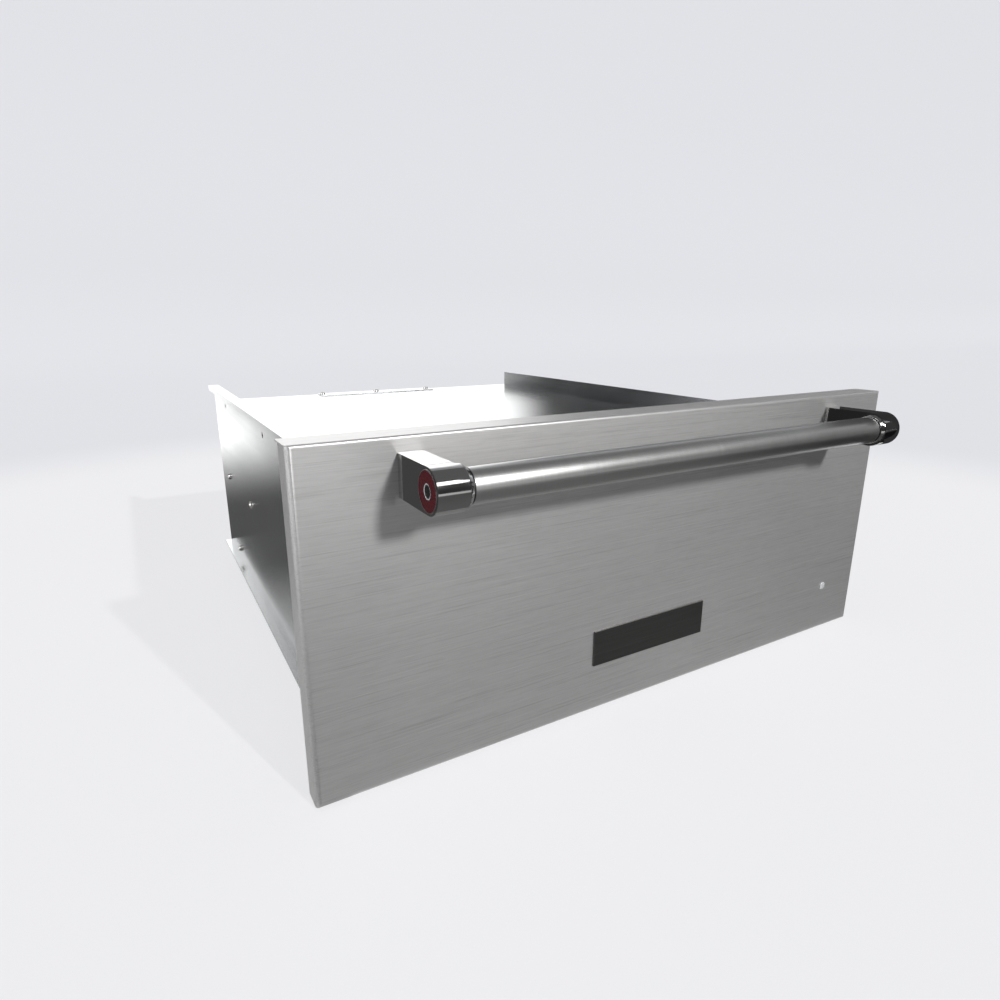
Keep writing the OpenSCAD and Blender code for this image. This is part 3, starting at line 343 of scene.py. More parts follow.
# %% [markdown]
# One low sun lights the room alone and casts the long shadow on the floor. A higher, softer sun
# and a softbox on the left light the drawer alone, and a pale sky fills what they leave.

# %% Lamps and sky
def lamp(name, kind, place, aim, power, **shape):
    data = bpy.data.lights.new(name, kind)
    data.energy = power
    for key, value in shape.items():
        setattr(data, key, value)
    made = bpy.data.objects.new(name, data)
    bpy.context.scene.collection.objects.link(made)
    made.location = place
    made.rotation_euler = (Vector(aim) - Vector(place)).to_track_quat("-Z", "Y").to_euler()
    return made


def lights(thing, state, *lamps):
    """Limits lamps to one object, or keeps them off it."""
    group = bpy.data.collections.new(lamps[0].name + "_" + state.lower())
    group.objects.link(thing)
    group.collection_objects[0].light_linking.link_state = state
    for each in lamps:
        each.light_linking.receiver_collection = group


low_sun = lamp("low_sun", "SUN", (0.497, -1.72, 1.0), (0, 0, 0), 2.0, angle=math.radians(1.5))
key = lamp("key", "SUN", (0.38, -1.42, 0.80), (0, 0, 0), 3.05, angle=math.radians(7))
left_softbox = lamp("left_softbox", "AREA", (-2.6, -0.3, 1.3), (-0.3, -0.1, 0.1), 45,
                    shape="RECTANGLE", size=1.6, size_y=1.2)
lights(room, "INCLUDE", low_sun)
lights(room, "EXCLUDE", key, left_softbox)
world = bpy.data.worlds.new("studio")
world.use_nodes = True
sky = Wires()
sky.tree = world.node_tree
fill = sky.tree.nodes["Background"]
fill.inputs["Color"].default_value = (0.80, 0.81, 0.84, 1)
fill.inputs["Strength"].default_value = 0.50
backdrop = sky.node("ShaderNodeBackground", {}, {"Color": FAR_WALL, "Strength": 1.0})
mixed = sky.node("ShaderNodeMixShader", {}, {
    0: sky.node("ShaderNodeLightPath", out="Is Camera Ray"),
    1: Signal(sky, fill.outputs[0]), 2: backdrop})
sky.tree.links.new(mixed.socket, sky.tree.nodes["World Output"].inputs["Surface"])
bpy.context.scene.world = world

# %% [markdown]
# Brushed stainless steel is ruled with fine lines that all run one way. The lines tilt the
# surface a little, so a reflection is smeared across them and stays sharper along them. Noise
# that is squeezed a hundred times along one axis gives such lines, and it drives the roughness,
# the bump and a faint change of tone. Short bright strokes are where the belt bit deeper.

# %% Brushed steel
def brushed(name, along, tone, rough, bite, warm=0.01, stroke=0.05, coarse=1.0, metal=1.0):
    """along is the axis of the brushing: 0, 1 or 2."""
    paper = Paper(name)

    def streaks(across, lengthwise, *grain):
        return paper.noise(paper.squeezed(along, across, lengthwise), 1.0, *grain)

    lines = streaks(1500.0 * coarse, 9.0, 2.0, 0.7)
    strokes = streaks(850.0 * coarse, 10.0, 3.0, 0.6)
    cloud = paper.noise(paper.place(), 3.2, 2.0)
    whole = streaks(420.0, 60.0, 1.0).step(0.36, 0.60)
    marks = strokes.step(0.54, 0.70) * whole
    worn = strokes.step(0.30, 0.46) + (1 - whole) * 0.3
    level = tone * (0.745 + lines * 0.20 + worn * 0.13) + marks * stroke + (cloud - 0.5) * 0.03
    colour = paper.toned(level, (1 + warm, 1.0, 1 - warm, 1))
    roughness = rough + (lines - 0.5) * 0.12 + (cloud - 0.5) * 0.05 - marks * 0.05
    normal = paper.bump(lines * 0.5 + strokes * 0.5, bite, 0.0002)
    return paper.shader(Base_Color=colour, Metallic=metal, Roughness=roughness, Normal=normal)


front_steel = brushed("front_steel", 0, 0.65, 0.43, 0.16, stroke=0.09, metal=0.86)
inner_steel = brushed("inner_steel", 1, 0.62, 0.27, 0.08)
drawn_steel = brushed("drawn_steel", 0, 0.60, 0.24, 0.05, coarse=0.6)
print("brushed finishes:", front_steel.name, inner_steel.name, drawn_steel.name)

# %% [markdown]
# The cabinet is bent from zinc-coated sheet. The coil mill leaves it smooth and grey, with a
# faint grain along the rolling direction and pale and dark clouds where the coating froze. It
# is duller than the front, and handling leaves soft smears on it.

# %% Zinc-coated sheet
def coated_sheet(name, tone, rough, grain=0.05):
    paper = Paper(name)
    rolled = paper.noise(paper.squeezed(1, 60.0, 1.6), 1.0, 4.0, 0.62)
    cloud = paper.noise(paper.place(), 7.0, 4.0, 0.6)
    frost = paper.node("ShaderNodeTexVoronoi", {"feature": "F1"},
                       {"Vector": paper.place(), "Scale": 160.0, "Randomness": 1.0},
                       out="Distance")
    smear = paper.noise(paper.stretched(9.0, 4.0, 9.0), 1.0, 2.0).step(0.5, 0.75)
    level = tone * (0.90 + cloud * 0.12 + rolled * 0.08 + frost * 0.05)
    colour = paper.toned(level, (0.985, 1.0, 1.01, 1))
    roughness = rough + (cloud - 0.5) * 0.06 + (rolled - 0.5) * 0.08 + smear * 0.02
    normal = paper.bump(rolled * 0.6 + frost * 0.3, grain, 0.0003)
    return paper.shader(Base_Color=colour, Metallic=1.0, Roughness=roughness, Normal=normal)


cabinet_steel = coated_sheet("cabinet_steel", 0.62, 0.20)
slide_steel = coated_sheet("slide_steel", 0.55, 0.30, 0.03)
cage_steel = coated_sheet("cage_steel", 0.42, 0.34, 0.02)
print("coated sheet:", cabinet_steel.name, slide_steel.name, cage_steel.name)

# %% [markdown]
# The tube is turned on a lathe and polished with a fine belt, so its lines run round it. The
# cast brackets are nickel plated and buffed until they mirror the room; only faint swirls and
# a little waviness are left. Zinc-plated screws have a fine, slightly yellow or blue shine.

# %% Satin tube, polished plating, plated screws
def satin_tube():
    paper = Paper("handle_steel")
    rings = paper.noise(paper.stretched(900.0, 8.0, 8.0), 1.0, 3.0, 0.7)
    cloud = paper.noise(paper.place(), 9.0, 2.0)
    level = 0.66 + (rings - 0.5) * 0.14 + (cloud - 0.5) * 0.03
    colour = paper.toned(level, (1.0, 1.0, 0.99, 1))
    return paper.shader(Base_Color=colour, Metallic=1.0,
                        Roughness=0.31 + (rings - 0.5) * 0.12 + (cloud - 0.5) * 0.05,
                        Normal=paper.bump(rings, 0.10, 0.0002))


def polished(name, tone, rough, tint=(1.0, 0.995, 0.985, 1)):
    paper = Paper(name)
    swirl = paper.noise(paper.place(), 46.0, 5.0, 0.65)
    dust = paper.noise(paper.place(), 700.0, 2.0)
    level = tone + (swirl - 0.5) * 0.04
    colour = paper.toned(level, tint)
    return paper.shader(Base_Color=colour, Metallic=1.0,
                        Roughness=rough + swirl.step(0.45, 0.8) * 0.06 + dust * 0.02,
                        Normal=paper.bump(swirl, 0.02, 0.0006))


handle_steel = satin_tube()
bracket_chrome = polished("bracket_chrome", 0.56, 0.07)
screw_steel = polished("screw_steel", 0.62, 0.22, (1.0, 0.985, 0.94, 1))
badge_metal = brushed("badge_metal", 0, 0.17, 0.34, 0.06, warm=0.02, stroke=0.03)
print("handle finishes:", handle_steel.name, bracket_chrome.name, screw_steel.name)

# %% [markdown]
# The element is a steel tube round a wire in packed powder. Heat turns such a sheath a blotchy
# brown grey. Rubber, plastic, ceramic and circuit board each get their own grain: rubber is
# dusty, moulded plastic has a fine spark-eroded texture, fired ceramic is speckled, and the
# board shows its weave under the green varnish.

# %% Sheath, rubber, plastic, ceramic and board
def dull(name, dark, pale, rough, scale, bite, **more):
    paper = Paper(name)
    grain = paper.noise(paper.place(), scale, 4.0, 0.6)
    cloud = paper.noise(paper.place(), 30.0, 3.0)
    colour = paper.blend((grain * 0.5 + cloud * 0.5).step(0.3, 0.7), dark, pale)
    return paper.shader(Base_Color=colour, Roughness=rough + (grain - 0.5) * 0.16,
                        Normal=paper.bump(grain, bite, 0.0003), **more)


def woven_board():
    paper = Paper("board_green")

    def threads(axis):
        return paper.node("ShaderNodeTexWave", {"wave_type": "BANDS", "wave_profile": "SIN",
                                                "bands_direction": axis},
                          {"Vector": paper.place(), "Scale": 260.0}, out="Fac")

    weave = threads("X") * threads("Z")
    tracks = paper.noise(paper.stretched(30.0, 200.0, 90.0), 1.0, 1.0).step(0.54, 0.56)
    colour = paper.blend(tracks * 0.55 + weave * 0.2, (0.006, 0.075, 0.030, 1),
                         (0.035, 0.230, 0.095, 1))
    return paper.shader(Base_Color=colour, Roughness=0.30 + weave * 0.12,
                        Normal=paper.bump(tracks + weave * 0.2, 0.12, 0.0002))


element_sheath = dull("element_sheath", (0.105, 0.082, 0.066, 1), (0.235, 0.205, 0.180, 1),
                      0.42, 240.0, 0.08, Metallic=0.85)
gasket_rubber = dull("gasket_rubber", (0.012, 0.012, 0.013, 1), (0.032, 0.032, 0.034, 1),
                     0.62, 900.0, 0.15)
foot_rubber = dull("foot_rubber", (0.016, 0.016, 0.017, 1), (0.040, 0.040, 0.041, 1),
                   0.70, 700.0, 0.20)
black_plastic = dull("black_plastic", (0.014, 0.014, 0.016, 1), (0.026, 0.026, 0.029, 1),
                     0.40, 1500.0, 0.12)
cream_plastic = dull("cream_plastic", (0.56, 0.50, 0.38, 1), (0.66, 0.60, 0.48, 1),
                     0.38, 1500.0, 0.08)
insulator_ceramic = dull("insulator_ceramic", (0.60, 0.57, 0.50, 1), (0.80, 0.78, 0.72, 1),
                         0.55, 420.0, 0.18)
board_green = woven_board()
print("dull finishes, from", element_sheath.name, "to", board_green.name)

# %% [markdown]
# Mineral wool is a mat of fine, tangled fibres. Long thin noise in two directions stands for
# the fibres, and larger lumps for the way the mat bunches. The blankets are only seen where a
# panel is off, yet a stranger who opens the cabinet in a game or a lesson will look at them.

# %% Mineral wool
def wool():
    paper = Paper("blanket_wool")
    one, two = [paper.noise(paper.stretched(*scales), 1.0, 4.0, 0.7)
                for scales in ((60.0, 700.0, 380.0), (560.0, 70.0, 420.0))]
    bunches = paper.noise(paper.place(), 34.0, 4.0, 0.6)
    fibre = one.most(two)
    colour = paper.blend((fibre * 0.7 + bunches * 0.4).step(0.30, 0.85),
                         (0.30, 0.27, 0.20, 1), (0.78, 0.74, 0.62, 1))
    return paper.shader(Base_Color=colour, Roughness=0.92,
                        Normal=paper.bump(fibre * 0.5 + bunches, 0.65, 0.0015))


blanket_wool = wool()
print("wool ready")

# %% [markdown]
# The lens is a hazy moulded button over a small lamp. The touch glass is dark and glossy, with a
# row of plain printed fields behind it. Each medallion is a bare enamelled disc: a thin grey rim,
# a deep red ring and a black middle. The ring is drawn by the distance from the disc's centre, so
# one formula serves both ends of the handle.

# %% Lens, glass and enamel
FACE_Y = -0.29735
HANDLE_Y, HANDLE_Z = FACE_Y - 0.0534, 0.2617
RING_IN, RIM_IN, THREAD_R = 0.0060, 0.0144, 0.0052
TOUCH_Z, FIELD_PITCH, FIELD_END, FIELD_HALF = 0.270, 0.0215, 0.075, 0.0032


def hazy_lens():
    paper = Paper("lens_plastic")
    haze = paper.noise(paper.place(), 300.0, 3.0)
    colour = paper.blend(haze.step(0.3, 0.7), (0.36, 0.37, 0.37, 1), (0.46, 0.47, 0.47, 1))
    return paper.shader(Base_Color=colour, Roughness=0.20 + haze * 0.08, Coat_Weight=0.25,
                        Normal=paper.bump(haze, 0.03, 0.0003))


def dark_glass():
    paper = Paper("touch_glass")
    depth = paper.noise(paper.place(), 260.0, 2.0)
    x, y, z = paper.axes()
    beside = ((z - TOUCH_Z).size() - FIELD_HALF).step(0.0, 0.0004)
    beyond = (x.size() - FIELD_END).step(0, 0.0005)
    cell = paper.node("ShaderNodeMath", {"operation": "PINGPONG"}, {0: x / FIELD_PITCH, 1: 0.5})
    field = (1 - beside) * (cell.size() - 0.34).step(0.0, 0.02) * (1 - beyond)
    inner = (cell - 0.36).size().step(0.006, 0.014)
    colour = paper.blend(field * (1 - inner * 0.85), (0.010, 0.011, 0.013, 1),
                         (0.55, 0.56, 0.58, 1))
    return paper.shader(Base_Color=colour, Roughness=0.06 + depth * 0.05, Coat_Weight=1.0,
                        Normal=paper.bump(depth, 0.01, 0.0002))


def enamel():
    paper = Paper("medallion_enamel")
    x, y, z = paper.axes()
    radius = ((y - HANDLE_Y).power(2.0) + (z - HANDLE_Z).power(2.0)).power(0.5)
    fired = paper.noise(paper.place(), 260.0, 4.0)
    ring = radius.step(RING_IN, RING_IN + 0.0002)
    rim = radius.step(RIM_IN, RIM_IN + 0.0002)
    thread = 1 - (radius - THREAD_R).size().step(0.0003, 0.0005)
    glaze = paper.blend(ring, (0.010, 0.009, 0.010, 1), (0.055, 0.003, 0.006, 1))
    glaze = paper.blend(fired.step(0.35, 0.75) * ring * 0.35, glaze, (0.085, 0.004, 0.009, 1))
    metal = paper.blend(fired, (0.42, 0.42, 0.42, 1), (0.55, 0.55, 0.55, 1))
    edge = rim.most(thread)
    colour = paper.blend(edge, glaze, metal)
    return paper.shader(Base_Color=colour, Metallic=rim,
                        Roughness=0.22 + fired * 0.10 + rim * 0.1,
                        Coat_Weight=0.15, Normal=paper.bump(fired, 0.02, 0.0002))


lens_plastic, touch_glass, medallion_enamel = hazy_lens(), dark_glass(), enamel()
print("glazed finishes:", lens_plastic.name, touch_glass.name, medallion_enamel.name)

# %% [markdown]
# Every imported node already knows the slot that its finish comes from. One loop gives each
# node the material of that name, and the same table later serves the pieces that replace some
# of the nodes.

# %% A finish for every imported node
FINISH = {m.name.split(".")[0]: m for m in (
    front_steel, handle_steel, bracket_chrome, cabinet_steel, inner_steel, slide_steel,
    screw_steel, cage_steel, element_sheath, badge_metal, medallion_enamel, gasket_rubber,
    foot_rubber, blanket_wool, insulator_ceramic, board_green, black_plastic, cream_plastic,
    lens_plastic, touch_glass)}
SLOT_OF = {part["node"]: part["material_slot"] for part in frame["record"]["subparts"]}
for name, thing in frame["nodes"].items():
    thing.data.materials.clear()
    thing.data.materials.append(FINISH[SLOT_OF[name]])
for material in [m for m in bpy.data.materials if m.users == 0 and m != drawn_steel]:
    bpy.data.materials.remove(material)
for name, material in FINISH.items():
    material.name = name
print("nodes finished:", len(SLOT_OF), "slots used:", len(set(SLOT_OF.values())))

# %% [markdown]
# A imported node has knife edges, because its solid is exact. On a real stamping or casting every
# edge is a little round, and that thin curve catches a line of light. So a node's mesh is
# copied, its loose triangles are welded, its flat faces are joined, and a Bevel modifier rounds
# what is left. The piece then rides and takes its finish as the node did.

# %% Pieces with soft edges
SAME_POINT, SAME_PLANE = 0.000004, math.radians(0.6)


def welded(node):
    """A merged copy of a node's mesh, as a bmesh with whole faces."""
    mesh = bmesh.new()
    mesh.from_mesh(frame["nodes"][node].data)
    bmesh.ops.remove_doubles(mesh, verts=mesh.verts, dist=SAME_POINT)
    bmesh.ops.dissolve_limit(mesh, angle_limit=SAME_PLANE, verts=mesh.verts,
                             edges=mesh.edges, delimit=set())
    return mesh


def settle(name, mesh, node, material=None, sharp=None):
    """Turns a bmesh into a piece that stands for a node and rides where the node did."""
    data = bpy.data.meshes.new(name)
    mesh.to_mesh(data)
    mesh.free()
    return hang(name, data, node, material, sharp)


def hang(name, data, node, material=None, sharp=None):
    """Makes a mesh a piece; sharp is the angle above which an edge stays hard."""
    data.materials.clear()
    data.materials.append(material or FINISH[SLOT_OF[node]])
    piece = bpy.data.objects.new(name, data)
    bpy.context.scene.collection.objects.link(piece)
    if sharp:
        for face in data.polygons:
            face.use_smooth = True
        data.set_sharp_from_angle(angle=math.radians(sharp))
    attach(piece, frame["nodes"][node]["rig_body"])
    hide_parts(node)
    return piece


def softened(node, name, width=0.0003, segments=2):
    """A copy of a node with a round of the given width on its edges."""
    piece = settle(name, welded(node), node)
    for face in piece.data.polygons:
        face.use_smooth = True
    edge = piece.modifiers.new("edge", "BEVEL")
    edge.width, edge.segments = width, segments
    edge.limit_method, edge.angle_limit = "ANGLE", math.radians(40)
    edge.use_clamp_overlap = True
    edge.miter_outer = "MITER_ARC"
    shade = piece.modifiers.new("shade", "WEIGHTED_NORMAL")
    shade.keep_sharp = True
    return piece


SOFT_EDGES = {
    "front_panel": ["drawer_front"], "side_wall_left": ["left_wall"],
    "side_wall_right": ["right_wall"], "top_panel": ["cabinet_top"],
    "channel_cover": ["channel_lid"], "rear_cover": ["rear_lid"],
    "handle_bracket_left": ["left_bracket", 0.0011, 4],
    "handle_bracket_right": ["right_bracket", 0.0011, 4],
    "handle_spacers": ["spacer_rings"], "badge_plate": ["bare_plate", 0.0005, 3],
    "control_tray": ["touch_tray"], "terminal_block": ["terminal_strip", 0.0004],
    "front_lining": ["inner_door"], "cavity_liner": ["oven_liner"],
    "front_frame": ["mouth_frame"], "base_pan": ["cabinet_floor"],
    "back_wall": ["cabinet_back"], "terminal_box": ["wiring_box"],
    "carrier_front": ["front_rail"], "carrier_rear": ["rear_rail"],
    "carrier_side_left": ["left_rail"], "conduit_bush": ["cable_bush", 0.0004],
    "carrier_side_right": ["right_rail"], "vent_slide": ["vent_shutter"],
    "touch_glass": ["touch_pane"], "board_components": ["relay_cases", 0.0006, 3]}
for node, (name, *edge) in SOFT_EDGES.items():
    made = softened(node, name, *edge)
    print(name, "faces", len(made.data.polygons))

# %% [markdown]
# Round pieces are turned from a profile, as on a lathe: a list of radii and heights, swept round
# an axis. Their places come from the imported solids. A solid's points are sorted into loose
# lumps, and each lump is measured: its axis, its widest radius, the plane where its head sits
# and the length of its shank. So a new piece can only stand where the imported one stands. The
# points still to be sorted are kept in a dict, because a set has no order of its own, and the
# random turns of the screws would then fall on other screws in every run.

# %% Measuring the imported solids
def lumps(node):
    """The separate solids of a node, each as a list of points, in the same order each run."""
    mesh = welded(node)
    left, found = dict.fromkeys(mesh.verts), []
    while left:
        wave, points = [left.popitem()[0]], []
        while wave:
            point = wave.pop()
            points.append(point.co.copy())
            for edge in point.link_edges:
                other = edge.other_vert(point)
                if other in left:
                    del left[other]
                    wave.append(other)
        found.append(points)
    mesh.free()
    return found


def headed(points):
    """Seat, direction of the head, and sizes of a headed round solid."""
    low = [min(p[i] for p in points) for i in range(3)]
    high = [max(p[i] for p in points) for i in range(3)]
    span = [b - a for a, b in zip(low, high)]
    axis = min(range(3), key=lambda i: abs(span[i - 1] - span[i - 2]))
    middle = Vector([(a + b) / 2 for a, b in zip(low, high)])

    def off(p):
        return math.sqrt(sum((p[i] - middle[i]) ** 2 for i in range(3) if i != axis))

    widest = max(map(off, points))
    rim = [p[axis] for p in points if off(p) > widest - 0.00005]
    way = 1 if high[axis] - max(rim) < min(rim) - low[axis] else -1
    seat = min(rim) if way > 0 else max(rim)
    behind = [p for p in points if (p[axis] - seat) * way < -0.0002]
    place = middle.copy()
    place[axis] = seat
    aim = Vector([way if i == axis else 0 for i in range(3)])
    top = high[axis] if way > 0 else low[axis]
    end = low[axis] if way > 0 else high[axis]
    return {"place": place, "aim": aim, "radius": widest, "head": abs(top - seat),
            "shank": max(map(off, behind)), "length": abs(seat - end)}


def turned(mesh, profile, place, aim, segments=48):
    """Adds a turned solid: profile is (radius, height) pairs, from the axis back to the axis."""
    stand = Vector(aim).to_track_quat("Z", "Y").to_matrix()
    rings = []
    for radius, height in profile:
        count = segments if radius > 0 else 1
        ring = []
        for i in range(count):
            turn = 2 * math.pi * i / segments
            local = Vector((radius * math.cos(turn), radius * math.sin(turn), height))
            ring.append(mesh.verts.new(Vector(place) + stand @ local))
        rings.append(ring)
    for one, two in zip(rings, rings[1:]):
        for i in range(segments):
            j = (i + 1) % segments
            corners = [one[i % len(one)], one[j % len(one)], two[j % len(two)], two[i % len(two)]]
            corners = [c for k, c in enumerate(corners) if c not in corners[:k]]
            if len(corners) > 2:
                mesh.faces.new(corners)


lens = headed(lumps("indicator_lens")[0])
print("lens in mm:", {part: round(lens[part] * 1000, 2) for part in ("radius", "head", "length")})

# %% [markdown]
# The lens is a dome on a stem that snaps into the panel. Each medallion is a pressed disc with
# a fine rim and a shallow dish, set in a recess in the end of its bracket. The feet are moulded
# pads with two grooves in the sole, so that they grip.

# %% Lens, medallions and feet
def round_piece(name, mesh, node, sharp):
    """Turns the faces of the turned solids outward and settles them for a node."""
    bmesh.ops.recalc_face_normals(mesh, faces=mesh.faces)
    return settle(name, mesh, node, sharp=sharp)


mesh = bmesh.new()
rise, wide, stem = lens["head"], lens["radius"], lens["shank"]
turned(mesh, [(0, -lens["length"]), (stem - 0.0002, -lens["length"]),
              (stem, -lens["length"] + 0.0003), (stem, 0), (wide - 0.0002, 0), (wide, 0.0002),
              (wide, rise * 0.35), (wide * 0.96, rise * 0.52), (wide * 0.82, rise * 0.74),
              (wide * 0.58, rise * 0.90), (wide * 0.3, rise * 0.98), (0, rise)],
       lens["place"], lens["aim"])
round_piece("domed_lens", mesh, "indicator_lens", 50)

DISC_R, RECESS, PROUD = 0.0152, 0.0010, 0.0006
low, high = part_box("medallions")
mesh = bmesh.new()
for side, outside in ((-1, low[0]), (1, high[0])):
    turned(mesh, [(0, -RECESS), (DISC_R - 0.0002, -RECESS), (DISC_R, -RECESS + 0.0002),
                  (DISC_R, PROUD * 0.3), (DISC_R - 0.0002, PROUD * 0.8), (DISC_R - 0.0005, PROUD),
                  (DISC_R - 0.0007, PROUD), (DISC_R - 0.0010, PROUD * 0.5), (0.0064, PROUD * 0.6),
                  (0.0061, PROUD * 0.9), (0.0057, PROUD * 0.9), (0.0054, PROUD * 0.5),
                  (0.0030, PROUD * 0.55), (0, PROUD * 0.6)],
           (outside - side * PROUD, HANDLE_Y, HANDLE_Z), (side, 0, 0), 64)
round_piece("enamel_discs", mesh, "medallions", 30)

mesh = bmesh.new()
for lump in lumps("foot_pads"):
    middle = [(min(p[i] for p in lump) + max(p[i] for p in lump)) / 2 for i in range(2)]
    tall = max(p[2] for p in lump)
    sole = [(0, 0), (0.0100, 0), (0.0104, 0.0007), (0.0116, 0.0007), (0.0120, 0), (0.0144, 0),
            (0.0148, 0.0007), (0.0160, 0.0007), (0.0164, 0), (0.0182, 0), (0.0190, 0.0008)]
    turned(mesh, sole + [(0.0190, tall * 0.46), (0.0186, tall * 0.54), (0.0133, tall * 0.95),
                         (0.0124, tall), (0.0056, tall), (0.0053, tall - 0.0003),
                         (0.0053, tall / 2), (0, tall / 2)], (*middle, 0), (0, 0, 1))
feet = round_piece("grip_feet", mesh, "foot_pads", 30)
print("points of the feet:", len(feet.data.vertices))

# %% [markdown]
# Forty-two screws hold the cabinet and the drawer together, and a row of the same thing is work
# for Geometry Nodes. One screw is modelled: a domed head with a pressed cross. The tree sets a
# copy on every point, aims it along the stored direction, and turns each cross by its own
# random angle, since no fitter leaves them all in line.

# %% One screw with a pressed cross
def crossed(reach, half, height, shrink=1.0):
    """Twenty-four points round a cross, starting on the x axis."""
    quarter = [(reach, 0), (reach, half), ((reach + half) / 2, half), (half, half),
               (half, (reach + half) / 2), (half, reach)]
    points = []
    for turn in range(4):
        for x, y in quarter:
            for _ in range(turn):
                x, y = -y, x
            points.append(Vector((x * shrink, y * shrink, height)))
    return points


DOME = ((0.64, 0.99), (0.72, 0.95), (0.84, 0.80), (0.94, 0.52), (1.0, 0.20), (1.0, 0.06),
        (0.985, 0.0))
ROUND = [math.radians(15 * i) for i in range(24)]


def screw_shape(radius, head, shank, length):
    """A headed screw that stands on the z axis with its seat at 0."""
    reach = radius * 0.56
    deep = min(head * 0.6, 0.0013)
    circles = [(radius * share, head * rise) for share, rise in DOME]
    circles += [(shank, 0.0), (shank, 0.0006 - length), (shank * 0.7, -length)]
    rings = [crossed(reach, reach * 0.27, head - deep, 0.62), crossed(reach, reach * 0.27, head)]
    rings += [[Vector((wide * math.cos(t), wide * math.sin(t), z)) for t in ROUND]
              for wide, z in circles]
    mesh = bmesh.new()
    loops = [[mesh.verts.new(point) for point in ring] for ring in rings]
    for one, two in zip(loops, loops[1:]):
        for i in range(len(ROUND)):
            mesh.faces.new((one[i], one[i - 1], two[i - 1], two[i]))
    mesh.faces.new(loops[0])
    mesh.faces.new(list(reversed(loops[-1])))
    bmesh.ops.recalc_face_normals(mesh, faces=mesh.faces)
    return mesh


print("rings of a screw:", 2 + len(DOME) + 3)

# %% [markdown]
# The tree is written in the same way as the shaders. Its inputs have names, so the same tree can
# be given another screw, another finish or another seed in the modifier panel.

# %% A tree that plants screws
class Recipe(Wires):
    """A Geometry Nodes tree with named inputs."""

    def __init__(self, name, **inputs):
        self.tree = bpy.data.node_groups.new(name, "GeometryNodeTree")
        sockets = dict(Points="Geometry", **inputs)
        for label, kind in sockets.items():
            self.tree.interface.new_socket(name=label, in_out="INPUT",
                                           socket_type="NodeSocket" + kind)
        self.tree.interface.new_socket(name="Pieces", in_out="OUTPUT",
                                       socket_type="NodeSocketGeometry")
        self.entry = self.tree.nodes.new("NodeGroupInput")
        self.exit = self.tree.nodes.new("NodeGroupOutput")

    def given(self, label):
        return Signal(self, self.entry.outputs[label])

    def close(self, pieces):
        real = self.node("GeometryNodeRealizeInstances", {}, {"Geometry": pieces})
        done = self.node("GeometryNodeSetMaterial", {},
                         {"Geometry": real, "Material": self.given("Finish")})
        self.tree.links.new(done.socket, self.exit.inputs["Pieces"])


planting = Recipe("plant_screws", Screw="Object", Finish="Material", Size="Float",
                  Turn="Float", Seed="Int")
aim = planting.node("GeometryNodeInputNamedAttribute", {"data_type": "FLOAT_VECTOR"},
                    {"Name": "aim"})
stand = planting.node("FunctionNodeAlignRotationToVector", {"axis": "Z"}, {"Vector": aim})
twist = planting.node("FunctionNodeRandomValue", {"data_type": "FLOAT"},
                      {2: 0.0, 3: planting.given("Turn"), "Seed": planting.given("Seed")}, out=1)
spin = planting.node("FunctionNodeAxisAngleToRotation", {},
                     {"Axis": (0, 0, 1), "Angle": twist})
both = planting.node("FunctionNodeRotateRotation", {"rotation_space": "LOCAL"},
                     {"Rotation": stand, "Rotate By": spin})
one = planting.node("GeometryNodeObjectInfo", {"transform_space": "ORIGINAL"},
                    {"Object": planting.given("Screw"), "As Instance": True}, out="Geometry")
planting.close(planting.node("GeometryNodeInstanceOnPoints", {},
                             {"Points": planting.given("Points"), "Instance": one,
                              "Rotation": both, "Scale": planting.given("Size")}))
print("tree inputs:", [item.name for item in planting.tree.interface.items_tree])

# %% [markdown]
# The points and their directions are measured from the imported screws. Screws of one node may
# differ in length, so each length is planted on its own, and the results are joined in one mesh.

# %% Screws of the cabinet, the slides and the drawer
def planted(recipe, points, aims, **values):
    """Runs a tree over points that carry an aim, and gives back a plain mesh."""
    seeds = bpy.data.meshes.new("seeds")
    seeds.from_pydata(points, [], [])
    stored = seeds.attributes.new("aim", "FLOAT_VECTOR", "POINT")
    stored.data.foreach_set("vector", [x for a in aims for x in a])
    field = bpy.data.objects.new("field", seeds)
    bpy.context.scene.collection.objects.link(field)
    grower = field.modifiers.new("grow", "NODES")
    grower.node_group = recipe.tree
    for item in recipe.tree.interface.items_tree:
        if item.name in values:
            grower[item.identifier] = values[item.name]
    ready = field.evaluated_get(bpy.context.evaluated_depsgraph_get())
    grown = bpy.data.meshes.new_from_object(ready)
    field.modifiers.clear()
    bpy.data.objects.remove(field)
    return grown


def screwed(node, name, seed):
    groups = {}
    for lump in lumps(node):
        screw = headed(lump)
        groups.setdefault(round(screw["length"] * 10000), []).append(screw)
    whole = bmesh.new()
    for group in groups.values():
        first = group[0]
        shape = screw_shape(first["radius"], first["head"], first["shank"], first["length"])
        data = bpy.data.meshes.new("one_screw")
        shape.to_mesh(data)
        shape.free()
        master = bpy.data.objects.new("one_screw", data)
        bpy.context.scene.collection.objects.link(master)
        grown = planted(planting, [s["place"] for s in group], [s["aim"] for s in group],
                        Screw=master, Finish=screw_steel, Size=1.0, Turn=6.28, Seed=seed)
        whole.from_mesh(grown)
        bpy.data.objects.remove(master)
    print(name, "screws:", sum(len(g) for g in groups.values()), "faces:", len(whole.faces))
    return settle(name, whole, node, sharp=28)


screwed("cabinet_screws", "cabinet_pan_heads", 3)
screwed("drawer_screws", "drawer_pan_heads", 5)
screwed("slide_screws", "slide_flat_heads", 8)

# %% [markdown]
# The pan is pressed from one sheet, so its walls flow into its floor in a wide curve and its rim
# turns over in a small one. The gasket is a moulded seat with a soft bulb. Both are one profile
# that runs round a rectangle with rounded corners, so one helper makes the two of them.

